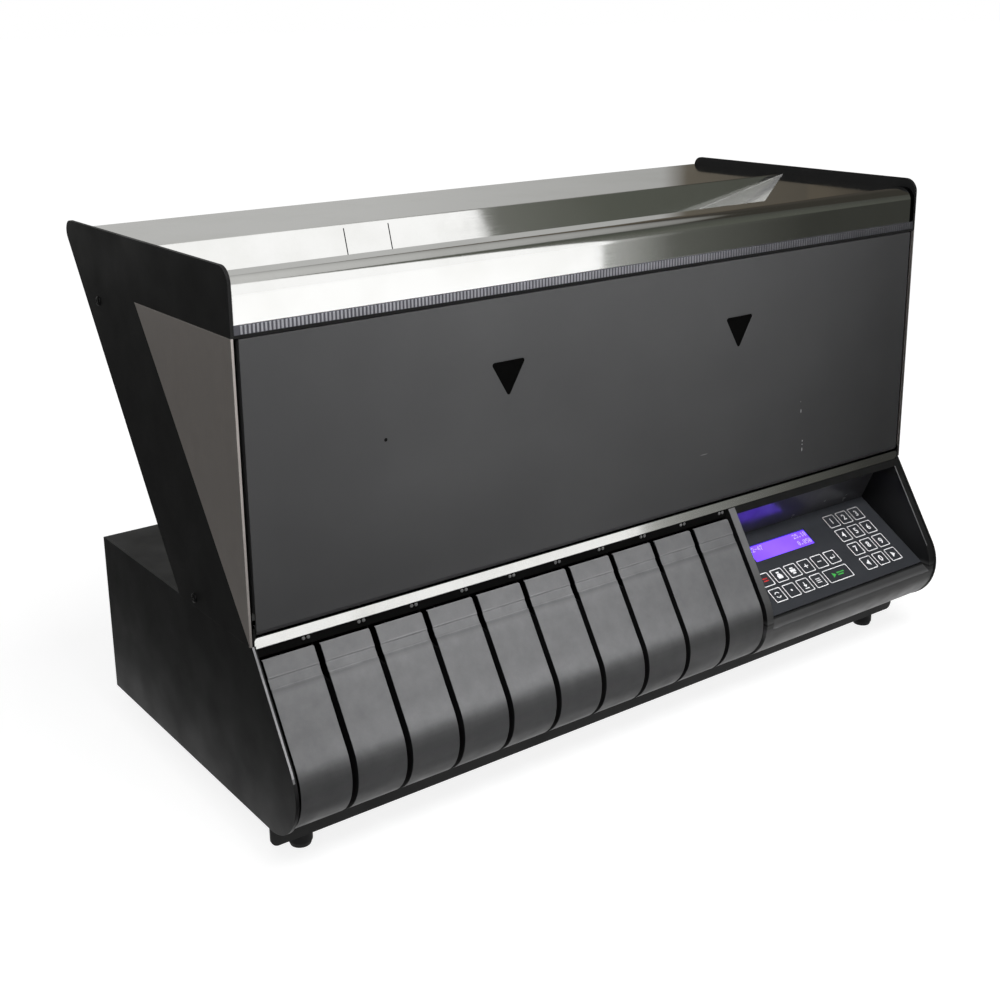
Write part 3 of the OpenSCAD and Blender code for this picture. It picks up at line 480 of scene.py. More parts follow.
def housing_plastic():
    """Dark housing plastic: grained grey on the nose, with painted light and shade; a painted highlight
    on the left rim that fades downwards; black inside the recess, and blacker on the hood as painted shade.
    """
    skin = Finish("housing_plastic", 0.4, specular=0.4).soft_edges(0.8 * MM)
    axes = skin.axes()
    overlay_low, overlay_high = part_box("keypad_overlay")
    mottle = skin.noise(30, 5)
    black = skin.two_tone(mottle, (0.006, 0.006, 0.0065), (0.009, 0.009, 0.0095))
    grey = skin.two_tone(mottle, (0.088, 0.088, 0.09), (0.108, 0.108, 0.11))
    # Painted light and shade down the nose, with a painted shadow line under the overlay's edge
    reach = NOSE_SHADE[-1][0] * MM
    share = skin.grey_ramp(axes["Z"], 0, 1, SIDE_FOOT, SIDE_FOOT + reach)
    grey = skin.scaled(grey, skin.tone_run(share, [(z * MM / reach, tone) for z, tone in NOSE_SHADE]))
    pale = skin.two_tone(mottle, (0.12, 0.12, 0.122), (0.145, 0.145, 0.147))
    nose = skin.short_of(axes["Z"], overlay_low.z + 3 * MM, 2 * MM)
    # A painted highlight on the left rim's slope-facing faces, fading downwards
    rim = skin.short_of(axes["X"], overlay_low.x - 0.3 * MM, 0.1 * MM)
    rim = skin.multiply(rim, skin.past(skin.facing(OFF_DRAWER), 0.7, 0.2))
    rim = skin.multiply(rim, skin.grey_ramp(axes["Z"], 0.1, 1, overlay_low.z, overlay_high.z + 15 * MM))
    # Painted shade: the hood is painted blacker, and made rougher
    hood_foot = overlay_high.z + 33 * MM
    hood = skin.past(axes["Z"], hood_foot, 3 * MM)
    black = skin.blend(hood, black, (0.001, 0.001, 0.001))
    skin.colour(skin.blend(rim, skin.blend(nose, black, grey), pale))
    sheen = skin.grey_ramp(skin.noise(60, 4), 0.34, 0.48, 0.3, 0.7)
    skin.roughness(skin.add(sheen, skin.multiply(hood, 0.4)))
    return skin.bump(skin.noise(1000, 4), 0.03 * MM, 0.4)


def case_coat(name):
    """The black coat of the case."""
    return powder_coat(name, (0.0068, 0.0068, 0.007), (0.0078, 0.0078, 0.008), 0.48, 0.2, 0.03)


def side_coat():
    """The case coat on the left base plate, with a patchy painted highlight along its sloping front edge
    that fades upwards.
    """
    coat = case_coat("case_edge_coat")
    axes = coat.axes()
    low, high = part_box("base_side_left")
    # Painted highlight: the sloping front edge is painted pale, patchy and fading upwards
    worn = coat.past(coat.facing(OFF_DRAWER), 0.98, 0.01)
    worn = coat.multiply(worn, coat.short_of(axes["X"], low.x + 1.8 * MM, 0.1 * MM))
    worn = coat.multiply(worn, coat.grey_ramp(axes["Z"], 1, 0.6, low.z, high.z))
    patchy_highlight = coat.multiply(worn, coat.grey_ramp(coat.noise(38, 4), 0.7, 1, 0.3, 0.6))
    return coat.colour(coat.blend(patchy_highlight, coat.tone(), (0.42, 0.42, 0.43)))


def keypad_film(name, low, high):
    """The keypad's film, with painted light that makes it paler under the hood than at its foot."""
    pale = 3.4
    low, high = ([c * pale for c in tone] for tone in (low, high))
    film = moulded_plastic(name, low, high, 0.42, 1500, 0.02, 0.3)
    middle, wide, tall = on_slope("keypad_overlay")
    foot = middle.dot(UP_SLOPE) - tall / 2
    # Painted light that lifts the film up under the hood's shade
    rise = ((0.6, 1), (0.7, 1.2), (0.8, 1.55), (0.88, 2.5), (1, pale))
    return film.shaded(UP_SLOPE, foot, foot + tall, [(at, tone / pale) for at, tone in rise])


def display_glass():
    """The lit display, with painted shadow along its top and right edges."""
    glass = Finish("display_violet", 0.16)
    glow = glass.two_tone(glass.noise(26, 3), (0.125, 0.048, 0.92), (0.165, 0.072, 1.0))
    glass.colour((0.05, 0.02, 0.2))
    middle, wide, tall = on_slope("display")
    end = middle.x + wide / 2
    # Painted shadow along the display's top and right edges
    right = glass.past(glass.axes()["X"], end - 1.15 * MM, 0.25 * MM)
    head = middle.dot(UP_SLOPE) + tall / 2
    top = glass.past(glass.along(glass.place, UP_SLOPE), head - 1.2 * MM, 0.3 * MM)
    glow = glass.blend(glass.most(right, top), glow, (0.012, 0.01, 0.12))
    return glass.set("Emission Color", glow).set("Emission Strength", DISPLAY_GLOW)


def board_lacquer():
    """Green lacquer with a grid of tracks, and grey parts where they stand over the board."""
    board = Finish("board_lacquer", 0.4)
    board_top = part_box("main_board")[0].z + 9.85 * MM
    parts = board.past(board.axes()["Z"], board_top, 0.05 * MM)
    traces = board.node("ShaderNodeTexBrick", {"Vector": board.place, "Scale": 60.0}).outputs["Fac"]
    green = board.blend(traces, (0.012, 0.11, 0.045), (0.03, 0.2, 0.08))
    metal = board.ramp(board.noise(30, 3), [(0.4, (0.05, 0.05, 0.055)), (0.6, (0.3, 0.3, 0.31))])
    return board.colour(board.blend(parts, green, metal))


def finishes():
    """Every finish by the name that the pieces ask for."""
    mark = Finish("mark_black", 0.9, specular=0.05)
    mark.colour(mark.two_tone(mark.noise(60, 4), (0.001, 0.001, 0.001), (0.002, 0.002, 0.002)))
    return {
        "case": case_coat("case_black_coat"),
        "case_edge": side_coat(),
        "panel": panel_coat(),
        "hopper": hopper_steel(),
        "sill": sill_steel(),
        "trim": trim_steel(),
        "inner_steel": brushed_steel(
            "inner_steel", (0.5, 0.5, 0.49), (0.36, 0.35, 0.33), 0.35, GRAIN_DEEP
        ),
        "stud": printed_ink("stud_zinc", (0.22, 0.22, 0.22)),
        "recess_back": moulded_plastic(
            "recess_gloss", (0.09, 0.09, 0.095), (0.11, 0.11, 0.115), 0.21, 300, 0.004, 0.9
        ),
        # A pale strip that stands for the highlight on the recess's right edge: a painted highlight
        "rim_edge": moulded_plastic("rim_edge_plastic", (0.16, 0.16, 0.165), (0.24, 0.24, 0.245), 0.35),
        "screw": powder_coat(
            "screw_black", (0.0025, 0.0025, 0.0026), (0.0035, 0.0035, 0.0036), 0.35, 0.3
        ),
        "drawer": drawer_plastic(),
        "housing": housing_plastic(),
        "rack": moulded_plastic(
            "rack_black_plastic", (0.003, 0.003, 0.003), (0.005, 0.005, 0.005), 0.6, 900, 0.05, 0.05
        ),
        "overlay": keypad_film("overlay_film", (0.028, 0.03, 0.034), (0.035, 0.037, 0.042)),
        "key": keypad_film("key_film", (0.026, 0.028, 0.032), (0.032, 0.034, 0.039)),
        "socket": socket_plastic(),
        "rubber": soft_rubber("foot_rubber", (0.014, 0.014, 0.015), (0.024, 0.024, 0.025)),
        "seal": seal_rubber(),
        "seal_rib": rib_rubber(),
        "belt": soft_rubber("belt_rubber", (0.03, 0.033, 0.03), (0.055, 0.058, 0.052), 420),
        # The white ink's faint glow is painted light that lifts the prints out of shade
        "ink": printed_ink("white_ink", (0.88, 0.88, 0.9), 0.08),
        "red_ink": printed_ink("red_ink", (0.6, 0.03, 0.03)),
        "green_ink": printed_ink("green_ink", (0.06, 0.45, 0.08)),
        "lit_ink": printed_ink("lit_characters", (0.3, 0.25, 1.0), DISPLAY_GLOW),
        "mark": mark,
        "display": display_glass(),
        "board": board_lacquer(),
    }


FINISH = finishes()


def dress(name, finish):
    """Gives one node its finish."""
    node = nodes[name]
    node.data.materials.clear()
    node.data.materials.append(FINISH[finish].material)


def dress_nodes():
    """Goes through the nodes of the construction and gives each its finish."""
    plain = {
        "case_edge": "base_side_left",
        "case": "base_pan base_side_right base_cover upper_side_left upper_side_right rear_panel",
        "trim": "side_trim_left side_trim_right",
        "hopper": "hopper",
        "sill": "sill_strip",
        "panel": "front_panel feed_motor",
        "housing": "control_housing",
        "rack": "drawer_rack",
        "overlay": "keypad_overlay",
        "display": "display",
        "seal": "panel_seal",
        "rubber": "feet",
        "belt": "feed_belt",
        "inner_steel": "drive_roller idle_roller sort_rail",
        "socket": "power_inlet power_switch",
        "board": "main_board",
    }
    for finish, names in plain.items():
        for name in names.split():
            dress(name, finish)
    for name in nodes:
        if name.startswith("key_"):
            dress(name, "key")
        elif name.startswith("drawer_") and name != "drawer_rack":
            dress(name, "drawer")


def piece(name, mesh, finish, body):
    """A visible piece that rides on a body and belongs to one of the record's materials."""
    made = bpy.data.objects.new(name, mesh)
    scene.collection.objects.link(made)
    if not mesh.materials:
        mesh.materials.append(FINISH[finish].material)
    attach(made, body)
    return made


class Flat:
    """Flat shapes drawn in u and v on a face, each a thin plate that stands on it."""

    def __init__(self, origin, along, up, thick):
        self.bm = bmesh.new()
        self.origin = Vector(origin)
        self.along = Vector(along).normalized()
        self.up = Vector(up).normalized()
        self.out = self.along.cross(self.up).normalized()
        self.thick = thick

    def at(self, u, v, w):
        return self.origin + self.along * u + self.up * v + self.out * w

    def loop(self, points, w):
        return [self.bm.verts.new(self.at(u, v, w)) for u, v in points]

    def plate(self, points):
        low, high = self.loop(points, 0), self.loop(points, self.thick)
        self.bm.faces.new(high)
        self.bm.faces.new(list(reversed(low)))
        for i in range(len(points)):
            j = (i + 1) % len(points)
            self.bm.faces.new((low[i], low[j], high[j], high[i]))
        return self

    def ring(self, outer, inner):
        edges = ((outer, 0), (outer, self.thick), (inner, self.thick), (inner, 0))
        loops = [self.loop(points, w) for points, w in edges]
        for i in range(len(outer)):
            j = (i + 1) % len(outer)
            for a, b in ((0, 1), (1, 2), (2, 3), (3, 0)):
                self.bm.faces.new((loops[a][i], loops[a][j], loops[b][j], loops[b][i]))
        return self

    def mesh(self, name):
        bmesh.ops.recalc_face_normals(self.bm, faces=self.bm.faces)
        mesh = bpy.data.meshes.new(name)
        self.bm.to_mesh(mesh)
        self.bm.free()
        return mesh


def round_box(w, h, r):
    """A rectangle round the middle, with rounded corners."""
    points, steps = [], 5
    for cx, cy, start in ((1, 1, 0), (-1, 1, 90), (-1, -1, 180), (1, -1, 270)):
        for k in range(steps + 1):
            a = radians(start + 90 * k / steps)
            points.append((cx * (w / 2 - r) + r * cos(a), cy * (h / 2 - r) + r * sin(a)))
    return points


def disc(r, n):
    """A round outline of n points."""
    return [(r * cos(radians(360 * k / n)), r * sin(radians(360 * k / n))) for k in range(n)]


def sized(points, scale):
    """An outline drawn larger or smaller."""
    return [(u * scale, v * scale) for u, v in points]


def slab(x0, y0, x1, y1):
    """A rectangle between two corners."""
    return [(x0, y0), (x1, y0), (x1, y1), (x0, y1)]


def bar(x0, y0, x1, y1, thick):
    """A straight stroke between two points."""
    along = Vector((x1 - x0, y1 - y0)).normalized()
    side = Vector((-along.y, along.x)) * thick / 2
    ends = ((x0, y0, 1), (x0, y0, -1), (x1, y1, -1), (x1, y1, 1))
    return [(x + way * side.x, y + way * side.y) for x, y, way in ends]


def mesh_of(holder):
    """What an object's curve or modifiers make, as a plain mesh; the object goes."""
    scene.collection.objects.link(holder)
    ready = holder.evaluated_get(bpy.context.evaluated_depsgraph_get())
    mesh = bpy.data.meshes.new_from_object(ready)
    bpy.data.objects.remove(holder)
    return mesh


# The print on the keys: its thickness, and the frame's gap from a key's edge, line and corners
PRINT_THICK = 0.03 * MM
FRAME_GAP, FRAME_LINE = 0.25 * MM, 0.9 * MM
FRAME_OUTER, FRAME_INNER = 1.5 * MM, 1.1 * MM

# The numbers' size, half their thickness and how bold they are as a share of their size
NUMBER_SIZE, NUMBER_HALF, NUMBER_BOLD = 9.6 * MM, 0.02 * MM, 0.026

# The scales of the white and the coloured pictures
PICTURE_SCALE, SIGN_SCALE = 1.3 * MM, 1.45 * MM

# The ring on the coin key: where its two halves start and how far they sweep, in degrees
RING_STARTS, RING_SWEEP = (25, 205), 130


def digit_mesh(text, size, place):
    """A number as a flat mesh, set on a face by a 4 by 4 matrix; the nine is the six turned round."""
    curve = bpy.data.curves.new("number", "FONT")
    curve.body = "6" if text == "9" else text
    curve.size = size
    curve.align_x = "CENTER"
    curve.align_y = "CENTER"
    curve.extrude = NUMBER_HALF
    curve.offset = NUMBER_BOLD * size
    mesh = mesh_of(bpy.data.objects.new("number", curve))
    mesh.transform(place @ Matrix.Rotation(pi if text == "9" else 0, 4, "Z"))
    return mesh


def joined(name, meshes):
    """Several meshes as one."""
    bm = bmesh.new()
    for mesh in meshes:
        bm.from_mesh(mesh)
    made = bpy.data.meshes.new(name)
    bm.to_mesh(made)
    bm.free()
    return made


def key_pictures():
    """Plain pictures for the function keys, drawn round the key's middle before they are scaled."""
    left = [(-2.4, 0), (1.6, 2.7), (1.6, -2.7)]
    right = [(2.4, 0), (-1.6, -2.7), (-1.6, 2.7)]
    bag = [(-2.3, -3), (2.3, -3), (2.7, -0.6), (1.0, 1.6), (-1.0, 1.6), (-2.7, -0.6)]
    return {
        "key_left": [left],
        "key_right": [right],
        "key_stop": [slab(-2.2, -1.4, 2.2, -0.5), slab(-2.2, 0.5, 2.2, 1.4)],
        "key_bag": [bag, [(-1.3, 2.0), (1.3, 2.0), (1.7, 3.2), (-1.7, 3.2)]],
        "key_print": [slab(-2.8, -1.2, 2.8, 1.2), slab(-1.7, 1.6, 1.7, 3.0), slab(-1.7, -3.0, 1.7, -1.6)],
        "key_plus": [bar(-2.1, 0, 2.1, 0, 0.9), bar(0, 0.46, 0, 2.1, 0.9), bar(0, -2.1, 0, -0.46, 0.9)],
        "key_minus": [bar(-2.1, 0, 2.1, 0, 0.9)],
        "key_enter": [
            bar(-1.2, -0.6, 2.6, -0.6, 0.8), bar(2.6, -0.2, 2.6, 2.2, 0.8),
            [(-3.0, -0.6), (-1.2, -2.1), (-1.2, 0.9)],
        ],
        "key_point": [disc(0.9, 16)],
        "key_feed": [
            bar(0, 0.2, 0, 3.0, 0.9), [(0, -2.0), (1.8, 0.2), (-1.8, 0.2)],
            bar(-2.2, -2.9, 2.2, -2.9, 0.8),
        ],
        "key_menu": [bar(-2.4, k, 2.4, k, 0.7) for k in (-1.7, 0, 1.7)],
        "key_start": [
            [(-5.6, -2.0), (-2.2, 0), (-5.6, 2.0)],
            bar(-1.0, 0.9, 6.4, 0.9, 0.9), bar(-1.0, -0.9, 4.6, -0.9, 0.9),
        ],
    }


def arc_quads(start, sweep):
    """A bent stroke as four-cornered plates, each ending a little short of the next, in metres."""
    quads, n, inner, outer = [], 9, 2.6, 3.6
    for k in range(n):
        a, b = radians(start + sweep * k / n), radians(start + sweep * (k + 0.97) / n)
        corners = ((inner, a), (outer, a), (outer, b), (inner, b))
        quads.append([(r * MM * cos(t), r * MM * sin(t)) for r, t in corners])
    return quads


def print_keys():
    """A white frame on each key, with a number or a plain picture; two pictures are coloured."""
    pictures = key_pictures()
    inks = {"key_stop": "red_ink", "key_start": "green_ink"}
    for name in sorted(nodes):
        if not name.startswith("key_"):
            continue
        middle, w, h = on_slope(name)
        w, h = w - 2 * FRAME_GAP, h - 2 * FRAME_GAP
        inner = round_box(w - 2 * FRAME_LINE, h - 2 * FRAME_LINE, FRAME_INNER)
        flat = Flat(middle, (1, 0, 0), UP_SLOPE, PRINT_THICK)
        flat.ring(round_box(w, h, FRAME_OUTER), inner)
        if name not in inks:
            for points in pictures.get(name, ()):
                flat.plate(sized(points, PICTURE_SCALE))
        if name == "key_coin":
            for start in RING_STARTS:
                for quad in arc_quads(start, RING_SWEEP):
                    flat.plate(quad)
        meshes = [flat.mesh(name + "_print")]
        label = name.removeprefix("key_")
        if label.isdigit():
            place = Matrix.Translation(middle + OFF_SLOPE * NUMBER_HALF) @ Matrix.Rotation(TILT, 4, "X")
            meshes.append(digit_mesh(label, NUMBER_SIZE, place))
        piece(name + "_print", joined(name + "_print", meshes), "ink", name)
        if name in inks:
            flat = Flat(middle, (1, 0, 0), UP_SLOPE, PRINT_THICK)
            for points in pictures[name]:
                flat.plate(sized(points, SIGN_SCALE))
            piece(name + "_sign", flat.mesh(name + "_sign"), inks[name], name)


# The display's characters: rows of dots from the top, one where a dot is lit
DOTS = {
    "0": "01110 10001 10011 10101 11001 10001 01110",
    "1": "00100 01100 00100 00100 00100 00100 01110",
    "2": "01110 10001 00001 00010 00100 01000 11111",
    "4": "00010 00110 01010 10010 11111 00010 00010",
    "5": "11111 10000 11110 00001 00001 10001 01110",
    "7": "11111 00001 00010 00100 01000 01000 01000",
    ".": "00000 00000 00000 00000 00000 01100 01100",
    "-": "00000 00000 00000 11111 00000 00000 00000",
    " ": "00000 00000 00000 00000 00000 00000 00000",
}


def node_group(name, inputs):
    """An empty Geometry Nodes tree with named inputs, and its two ends."""
    group = bpy.data.node_groups.new(name, "GeometryNodeTree")
    for label, kind in [("Geometry", "Geometry"), *inputs, ("Turn", "Rotation")]:
        group.interface.new_socket(label, in_out="INPUT", socket_type="NodeSocket" + kind)
    group.interface.new_socket("Geometry", in_out="OUTPUT", socket_type="NodeSocketGeometry")
    tree = Tree(group)
    return tree, tree.node("NodeGroupInput").outputs, tree.node("NodeGroupOutput").inputs["Geometry"]


def spread_tree(tree, start, end, shape, material):
    """Ends a tree: the shape on each point, turned, made real and painted."""
    links = {"Points": start["Geometry"], "Instance": shape, "Rotation": start["Turn"]}
    spread = tree.node("GeometryNodeInstanceOnPoints", links).outputs["Instances"]
    real = tree.node("GeometryNodeRealizeInstances", {"Geometry": spread}).outputs["Geometry"]
    paint = tree.node("GeometryNodeSetMaterial", {"Geometry": real, "Material": material})
    tree.feed(end, paint.outputs["Geometry"])
    return tree.tree


def grown(name, group, points, values, body):
    """Runs a tree on a cloud of points and keeps the result as a plain mesh."""
    cloud = bpy.data.meshes.new(name + "_points")
    cloud.from_pydata([tuple(p) for p in points], [], [])
    holder = bpy.data.objects.new(name, cloud)
    modifier = holder.modifiers.new(name, "NODES")
    modifier.node_group = group
    for item in group.interface.items_tree:
        if item.item_type == "SOCKET" and item.in_out == "INPUT" and item.name in values:
            modifier[item.identifier] = values[item.name]
    return piece(name, mesh_of(holder), None, body)


def block_tree(name, material):
    """A small block on each point: seal ribs, belt ribs and display dots."""
    tree, start, end = node_group(name, [("Size", "Vector")])
    block = tree.node("GeometryNodeMeshCube", {"Size": start["Size"]}).outputs["Mesh"]
    return spread_tree(tree, start, end, block, material)


# How a screw head is drawn out: the share of its width kept at each step, and the rise
HEAD_STEPS = ((1.0, 0.45), (0.86, 0.3), (0.72, 0.25), (0.45, 0.0), (0.9, -0.55))


def head_tree(name, material):
    """A button-head screw with a socket on each point."""
    tree, start, end = node_group(name, [("Radius", "Float"), ("Height", "Float")])
    links = {"Radius": start["Radius"], "Resolution": 28}
    rim = tree.node("GeometryNodeCurvePrimitiveCircle", links).outputs["Curve"]
    shape, top = tree.node("GeometryNodeFillCurve", {"Curve": rim}).outputs["Mesh"], True
    for narrow, rise in HEAD_STEPS:
        lift = tree.multiply(start["Height"], rise)
        links = {"Mesh": shape, "Selection": top, "Offset Scale": lift, "Individual": False}
        push = tree.node("GeometryNodeExtrudeMesh", links, mode="FACES").outputs
        top = push["Top"]
        links = {"Geometry": push["Mesh"], "Selection": top, "Scale": narrow}
        shape = tree.node("GeometryNodeScaleElements", links).outputs["Geometry"]
    return spread_tree(tree, start, end, shape, material)


def seal_ribs():
    """Upright ribs along the seal."""
    low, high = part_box("panel_seal")
    pitch, wide, deep = 3.3 * MM, 1.6 * MM, 0.9 * MM
    bare_ends, bare_edges, lift = 6 * MM, 3.2 * MM, 1.2 * MM
    count = int((high.x - low.x - bare_ends) / pitch)
    start, height = (low.x + high.x - pitch * (count - 1)) / 2, (low.z + high.z) / 2 + lift
    points = [(start + i * pitch, low.y, height) for i in range(count)]
    tree = block_tree("seal_rib_tree", FINISH["seal_rib"].material)
    size = (wide, deep, high.z - low.z - bare_edges)
    grown("seal_ribs", tree, points, {"Size": size}, "case")


def belt_ribs():
    """Cross ribs on the feed belt's upper run."""
    low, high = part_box("feed_belt")
    pitch, wide, tall, bare_edges = 9 * MM, 3 * MM, 1 * MM, 3 * MM
    margin = high.z - low.z
    count = int((high.x - low.x - margin) / pitch)
    start, middle = low.x + margin / 2, (low.y + high.y) / 2
    points = [(start + i * pitch, middle, high.z) for i in range(count + 1)]
    tree = block_tree("belt_rib_tree", FINISH["belt"].material)
    size = (wide, high.y - low.y - bare_edges, tall)
    grown("belt_ribs", tree, points, {"Size": size}, "case")


def display_dots():
    """Two lines of plain numbers in lit dots."""
    middle, w, h = on_slope("display")
    rows = ("12-47           25.10", "                0.050")
    pitch_u, pitch_v = 0.62 * MM, 0.74 * MM
    middle_letter, middle_dot, middle_row = 10, 2, 3
    cell, line = w / 21.6, h * 0.44
    points = []
    for r, text in enumerate(rows):
        for c, letter in enumerate(text):
            for v, bits in enumerate(DOTS[letter].split()):
                for u, bit in enumerate(bits):
                    if bit == "1":
                        across = (c - middle_letter) * cell + (u - middle_dot) * pitch_u
                        up = (0.5 - r) * line + (middle_row - v) * pitch_v
                        points.append(middle + Vector((across, 0, 0)) + UP_SLOPE * up)
    tree = block_tree("display_dot_tree", FINISH["lit_ink"].material)
    values = {"Size": (0.56 * MM, 0.66 * MM, 0.06 * MM), "Turn": (TILT, 0, 0)}
    grown("display_dots", tree, points, values, "case")


def head_places():
    """Place, radius and height of each case screw and header stud, by side."""
    bm = bmesh.new()
    bm.from_mesh(nodes["case_screws"].data)
    bmesh.ops.remove_doubles(bm, verts=bm.verts, dist=1e-6)
    heads, seen = {}, set()
    for first in bm.verts:
        if first in seen:
            continue
        seen.add(first)
        stack, found = [first], []
        while stack:
            vert = stack.pop()
            found.append(vert.co.copy())
            for edge in vert.link_edges:
                other = edge.other_vert(vert)
                if other not in seen:
                    seen.add(other)
                    stack.append(other)
        low = Vector([min(p[i] for p in found) for i in range(3)])
        high = Vector([max(p[i] for p in found) for i in range(3)])
        size = high - low
        mid = (low + high) / 2
        if size.x < size.y:
            side = "right" if mid.x > 0 else "left"
            inner = low.x if mid.x > 0 else high.x
            heads.setdefault(side, []).append((Vector((inner, mid.y, mid.z)), size.y / 2, size.x))
        else:
            heads.setdefault("front", []).append((Vector((mid.x, high.y, mid.z)), size.x / 2, size.y))
    bm.free()
    return heads


def screws():
    """Domed heads with sockets for the case screws, the header studs and the rear wall."""
    screw_tree = head_tree("screw_head_tree", FINISH["screw"].material)
    stud_tree = head_tree("stud_head_tree", FINISH["stud"].material)
    turns = {"right": (0, pi / 2, 0), "left": (0, -pi / 2, 0), "front": (pi / 2, 0, 0)}
    for side, found in head_places().items():
        points = [place for place, radius, height in found]
        values = {"Radius": found[0][1], "Height": found[0][2], "Turn": turns[side]}
        tree = stud_tree if side == "front" else screw_tree
        made = grown("screws_" + side, tree, points, values, "case")
        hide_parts("case_screws")
    low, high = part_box("base_cover")
    from_end, further_in, from_edge = 30 * MM, 260 * MM, 12 * MM
    columns = [low.x + from_end, low.x + further_in, high.x - further_in, high.x - from_end]
    points = [(x, high.y, z) for x in columns for z in (low.z + from_edge, high.z - from_edge)]
    values = {"Radius": 3.2 * MM, "Height": 1.5 * MM, "Turn": (-pi / 2, 0, 0)}
    grown("screws_rear", screw_tree, points, values, "case")


def recess_lining():
    """The recess's glossy back, which leans over the display, and a pale strip on its right wall's edge:
    a painted highlight.
    """
    hood_thick, back_thick, lean = 8.4 * MM, 0.6 * MM, radians(24)
    edge_wide, edge_thick = 0.9 * MM, 0.3 * MM
    wall_reach, edge_reach = 1.0 * MM, 0.3 * MM
    middle, wide, tall = on_slope("keypad_overlay")
    fold = middle + UP_SLOPE * tall / 2
    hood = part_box("control_housing")[1].z - hood_thick
    rise = (hood - fold.z) / cos(lean)
    flat = Flat(fold, (1, 0, 0), (0, -sin(lean), cos(lean)), back_thick)
    flat.plate(slab(-wide / 2, 0, wide / 2, rise))
    piece("recess_back", flat.mesh("recess_back"), "recess_back", "case")
    inner = middle.x + wide / 2
    out = Vector(OFF_DRAWER)
    points = [v.co.copy() for v in nodes["control_housing"].data.vertices]
    wall = [p for p in points if abs(p.x - inner) < wall_reach]
    front = max(p.dot(out) for p in wall)
    edge = sorted((p for p in wall if front - p.dot(out) < edge_reach), key=lambda p: p.z)
    start, end = edge[0], edge[-1]
    # A pale strip along the right wall's edge: a painted highlight
    flat = Flat(start, (1, 0, 0), end - start, edge_thick)
    flat.plate(slab(0, 0, edge_wide, (end - start).length))
    piece("recess_edge", flat.mesh("recess_edge"), "rim_edge", "case")


def arrow_outline():
    """A triangle that points down, with rounded corners, a little smaller than its recess."""
    w, h, r, gap = 36 * MM, 31 * MM, 2.1 * MM, 0.12 * MM
    lean = degrees(atan2(h, w / 2))
    corners = (
        (-w / 2, 0, 90, 270 - lean),
        (0, -h, 270 - lean, 270 + lean),
        (w / 2, 0, 270 + lean, 450),
    )
    points, steps = [], 8
    for u, v, start, end in corners:
        half = radians(180 - (end - start)) / 2
        inward = radians((start + end) / 2 + 180)
        cu, cv = u + cos(inward) * r / sin(half), v + sin(inward) * r / sin(half)
        for k in range(steps + 1):
            a = radians(start + (end - start) * k / steps)
            points.append((cu + (r - gap) * cos(a), cv + (r - gap) * sin(a)))
    return points


def panel_marks():
    """Black arrow inlays in the front panel's recesses, and the small plug hole beside them."""
    arrow_places, arrow_drop = (246 * MM, 513 * MM), 105.5 * MM
    recess, inlay_thick = 0.6 * MM, 0.45 * MM
    plug_place, plug_rise, plug_radius, plug_thick = 126 * MM, 288.5 * MM, 1.5 * MM, 0.05 * MM
    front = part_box("front_panel")[0].y
    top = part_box("upper_side_left")[1].z - arrow_drop
    across, up = (1, 0, 0), (0, 0, 1)
    for i, x in enumerate(arrow_places):
        flat = Flat((LEFT + x, front + recess, top), across, up, inlay_thick).plate(arrow_outline())
        piece("arrow_mark_%d" % (i + 1), flat.mesh("arrow_mark"), "mark", "front_panel")
    hole = (LEFT + plug_place, front, SIDE_FOOT + plug_rise)
    flat = Flat(hole, across, up, plug_thick).plate(disc(plug_radius, 18))
    piece("panel_plug", flat.mesh("panel_plug"), "mark", "front_panel")


def hopper_seams():
    """Two dark seams down the trough's rear wall."""
    bpy.context.view_layer.update()
    places, half_wide, thick = (197 * MM, 243 * MM), 0.5 * MM, 0.05 * MM
    inside = FRONT + 80 * MM
    under_edge, over_belt = 3.5 * MM, 2 * MM
    hopper = nodes["hopper"]
    top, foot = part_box("hopper")[1].z - under_edge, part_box("feed_belt")[1].z + over_belt
    for i, x in enumerate(places):
        starts = [Vector((LEFT + x, inside, z)) for z in (foot, top)]
        ends = [hopper.ray_cast(start, Vector((0, 1, 0)))[1] for start in starts]
        rise = ends[1] - ends[0]
        flat = Flat(ends[0], (1, 0, 0), rise, thick)
        flat.plate(slab(-half_wide, 0, half_wide, rise.length))
        piece("hopper_seam_%d" % (i + 1), flat.mesh("hopper_seam"), "mark", "case")


def switch_marks():
    """A plain bar and ring on the two halves of the rocker."""
    low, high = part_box("power_switch")
    radius, thick = 14 * MM, 0.04 * MM
    middle = Vector(((low.x + high.x) / 2, high.y - radius, (low.z + high.z) / 2))
    for name, angle in (("bar", 11), ("ring", -25)):
        a = radians(angle)
        out = Vector((0, cos(a), sin(a)))
        flat = Flat(middle + out * radius, (-1, 0, 0), (0, -sin(a), cos(a)), thick)
        if name == "bar":
            flat.plate(bar(0, -2 * MM, 0, 2 * MM, 0.8 * MM))
        else:
            flat.ring(disc(2.1 * MM, 28), disc(1.4 * MM, 28))
        piece("switch_" + name, flat.mesh("switch_" + name), "ink", "power_switch")


def upright(x0, y0, x1, y1, low, high):
    """Corners of a standing card."""
    return [(x0, y0, low), (x1, y1, low), (x1, y1, high), (x0, y0, high)]


def level(x0, y0, x1, y1, z):
    """Corners of a lying card."""
    return [(x0, y0, z), (x1, y0, z), (x1, y1, z), (x0, y1, z)]


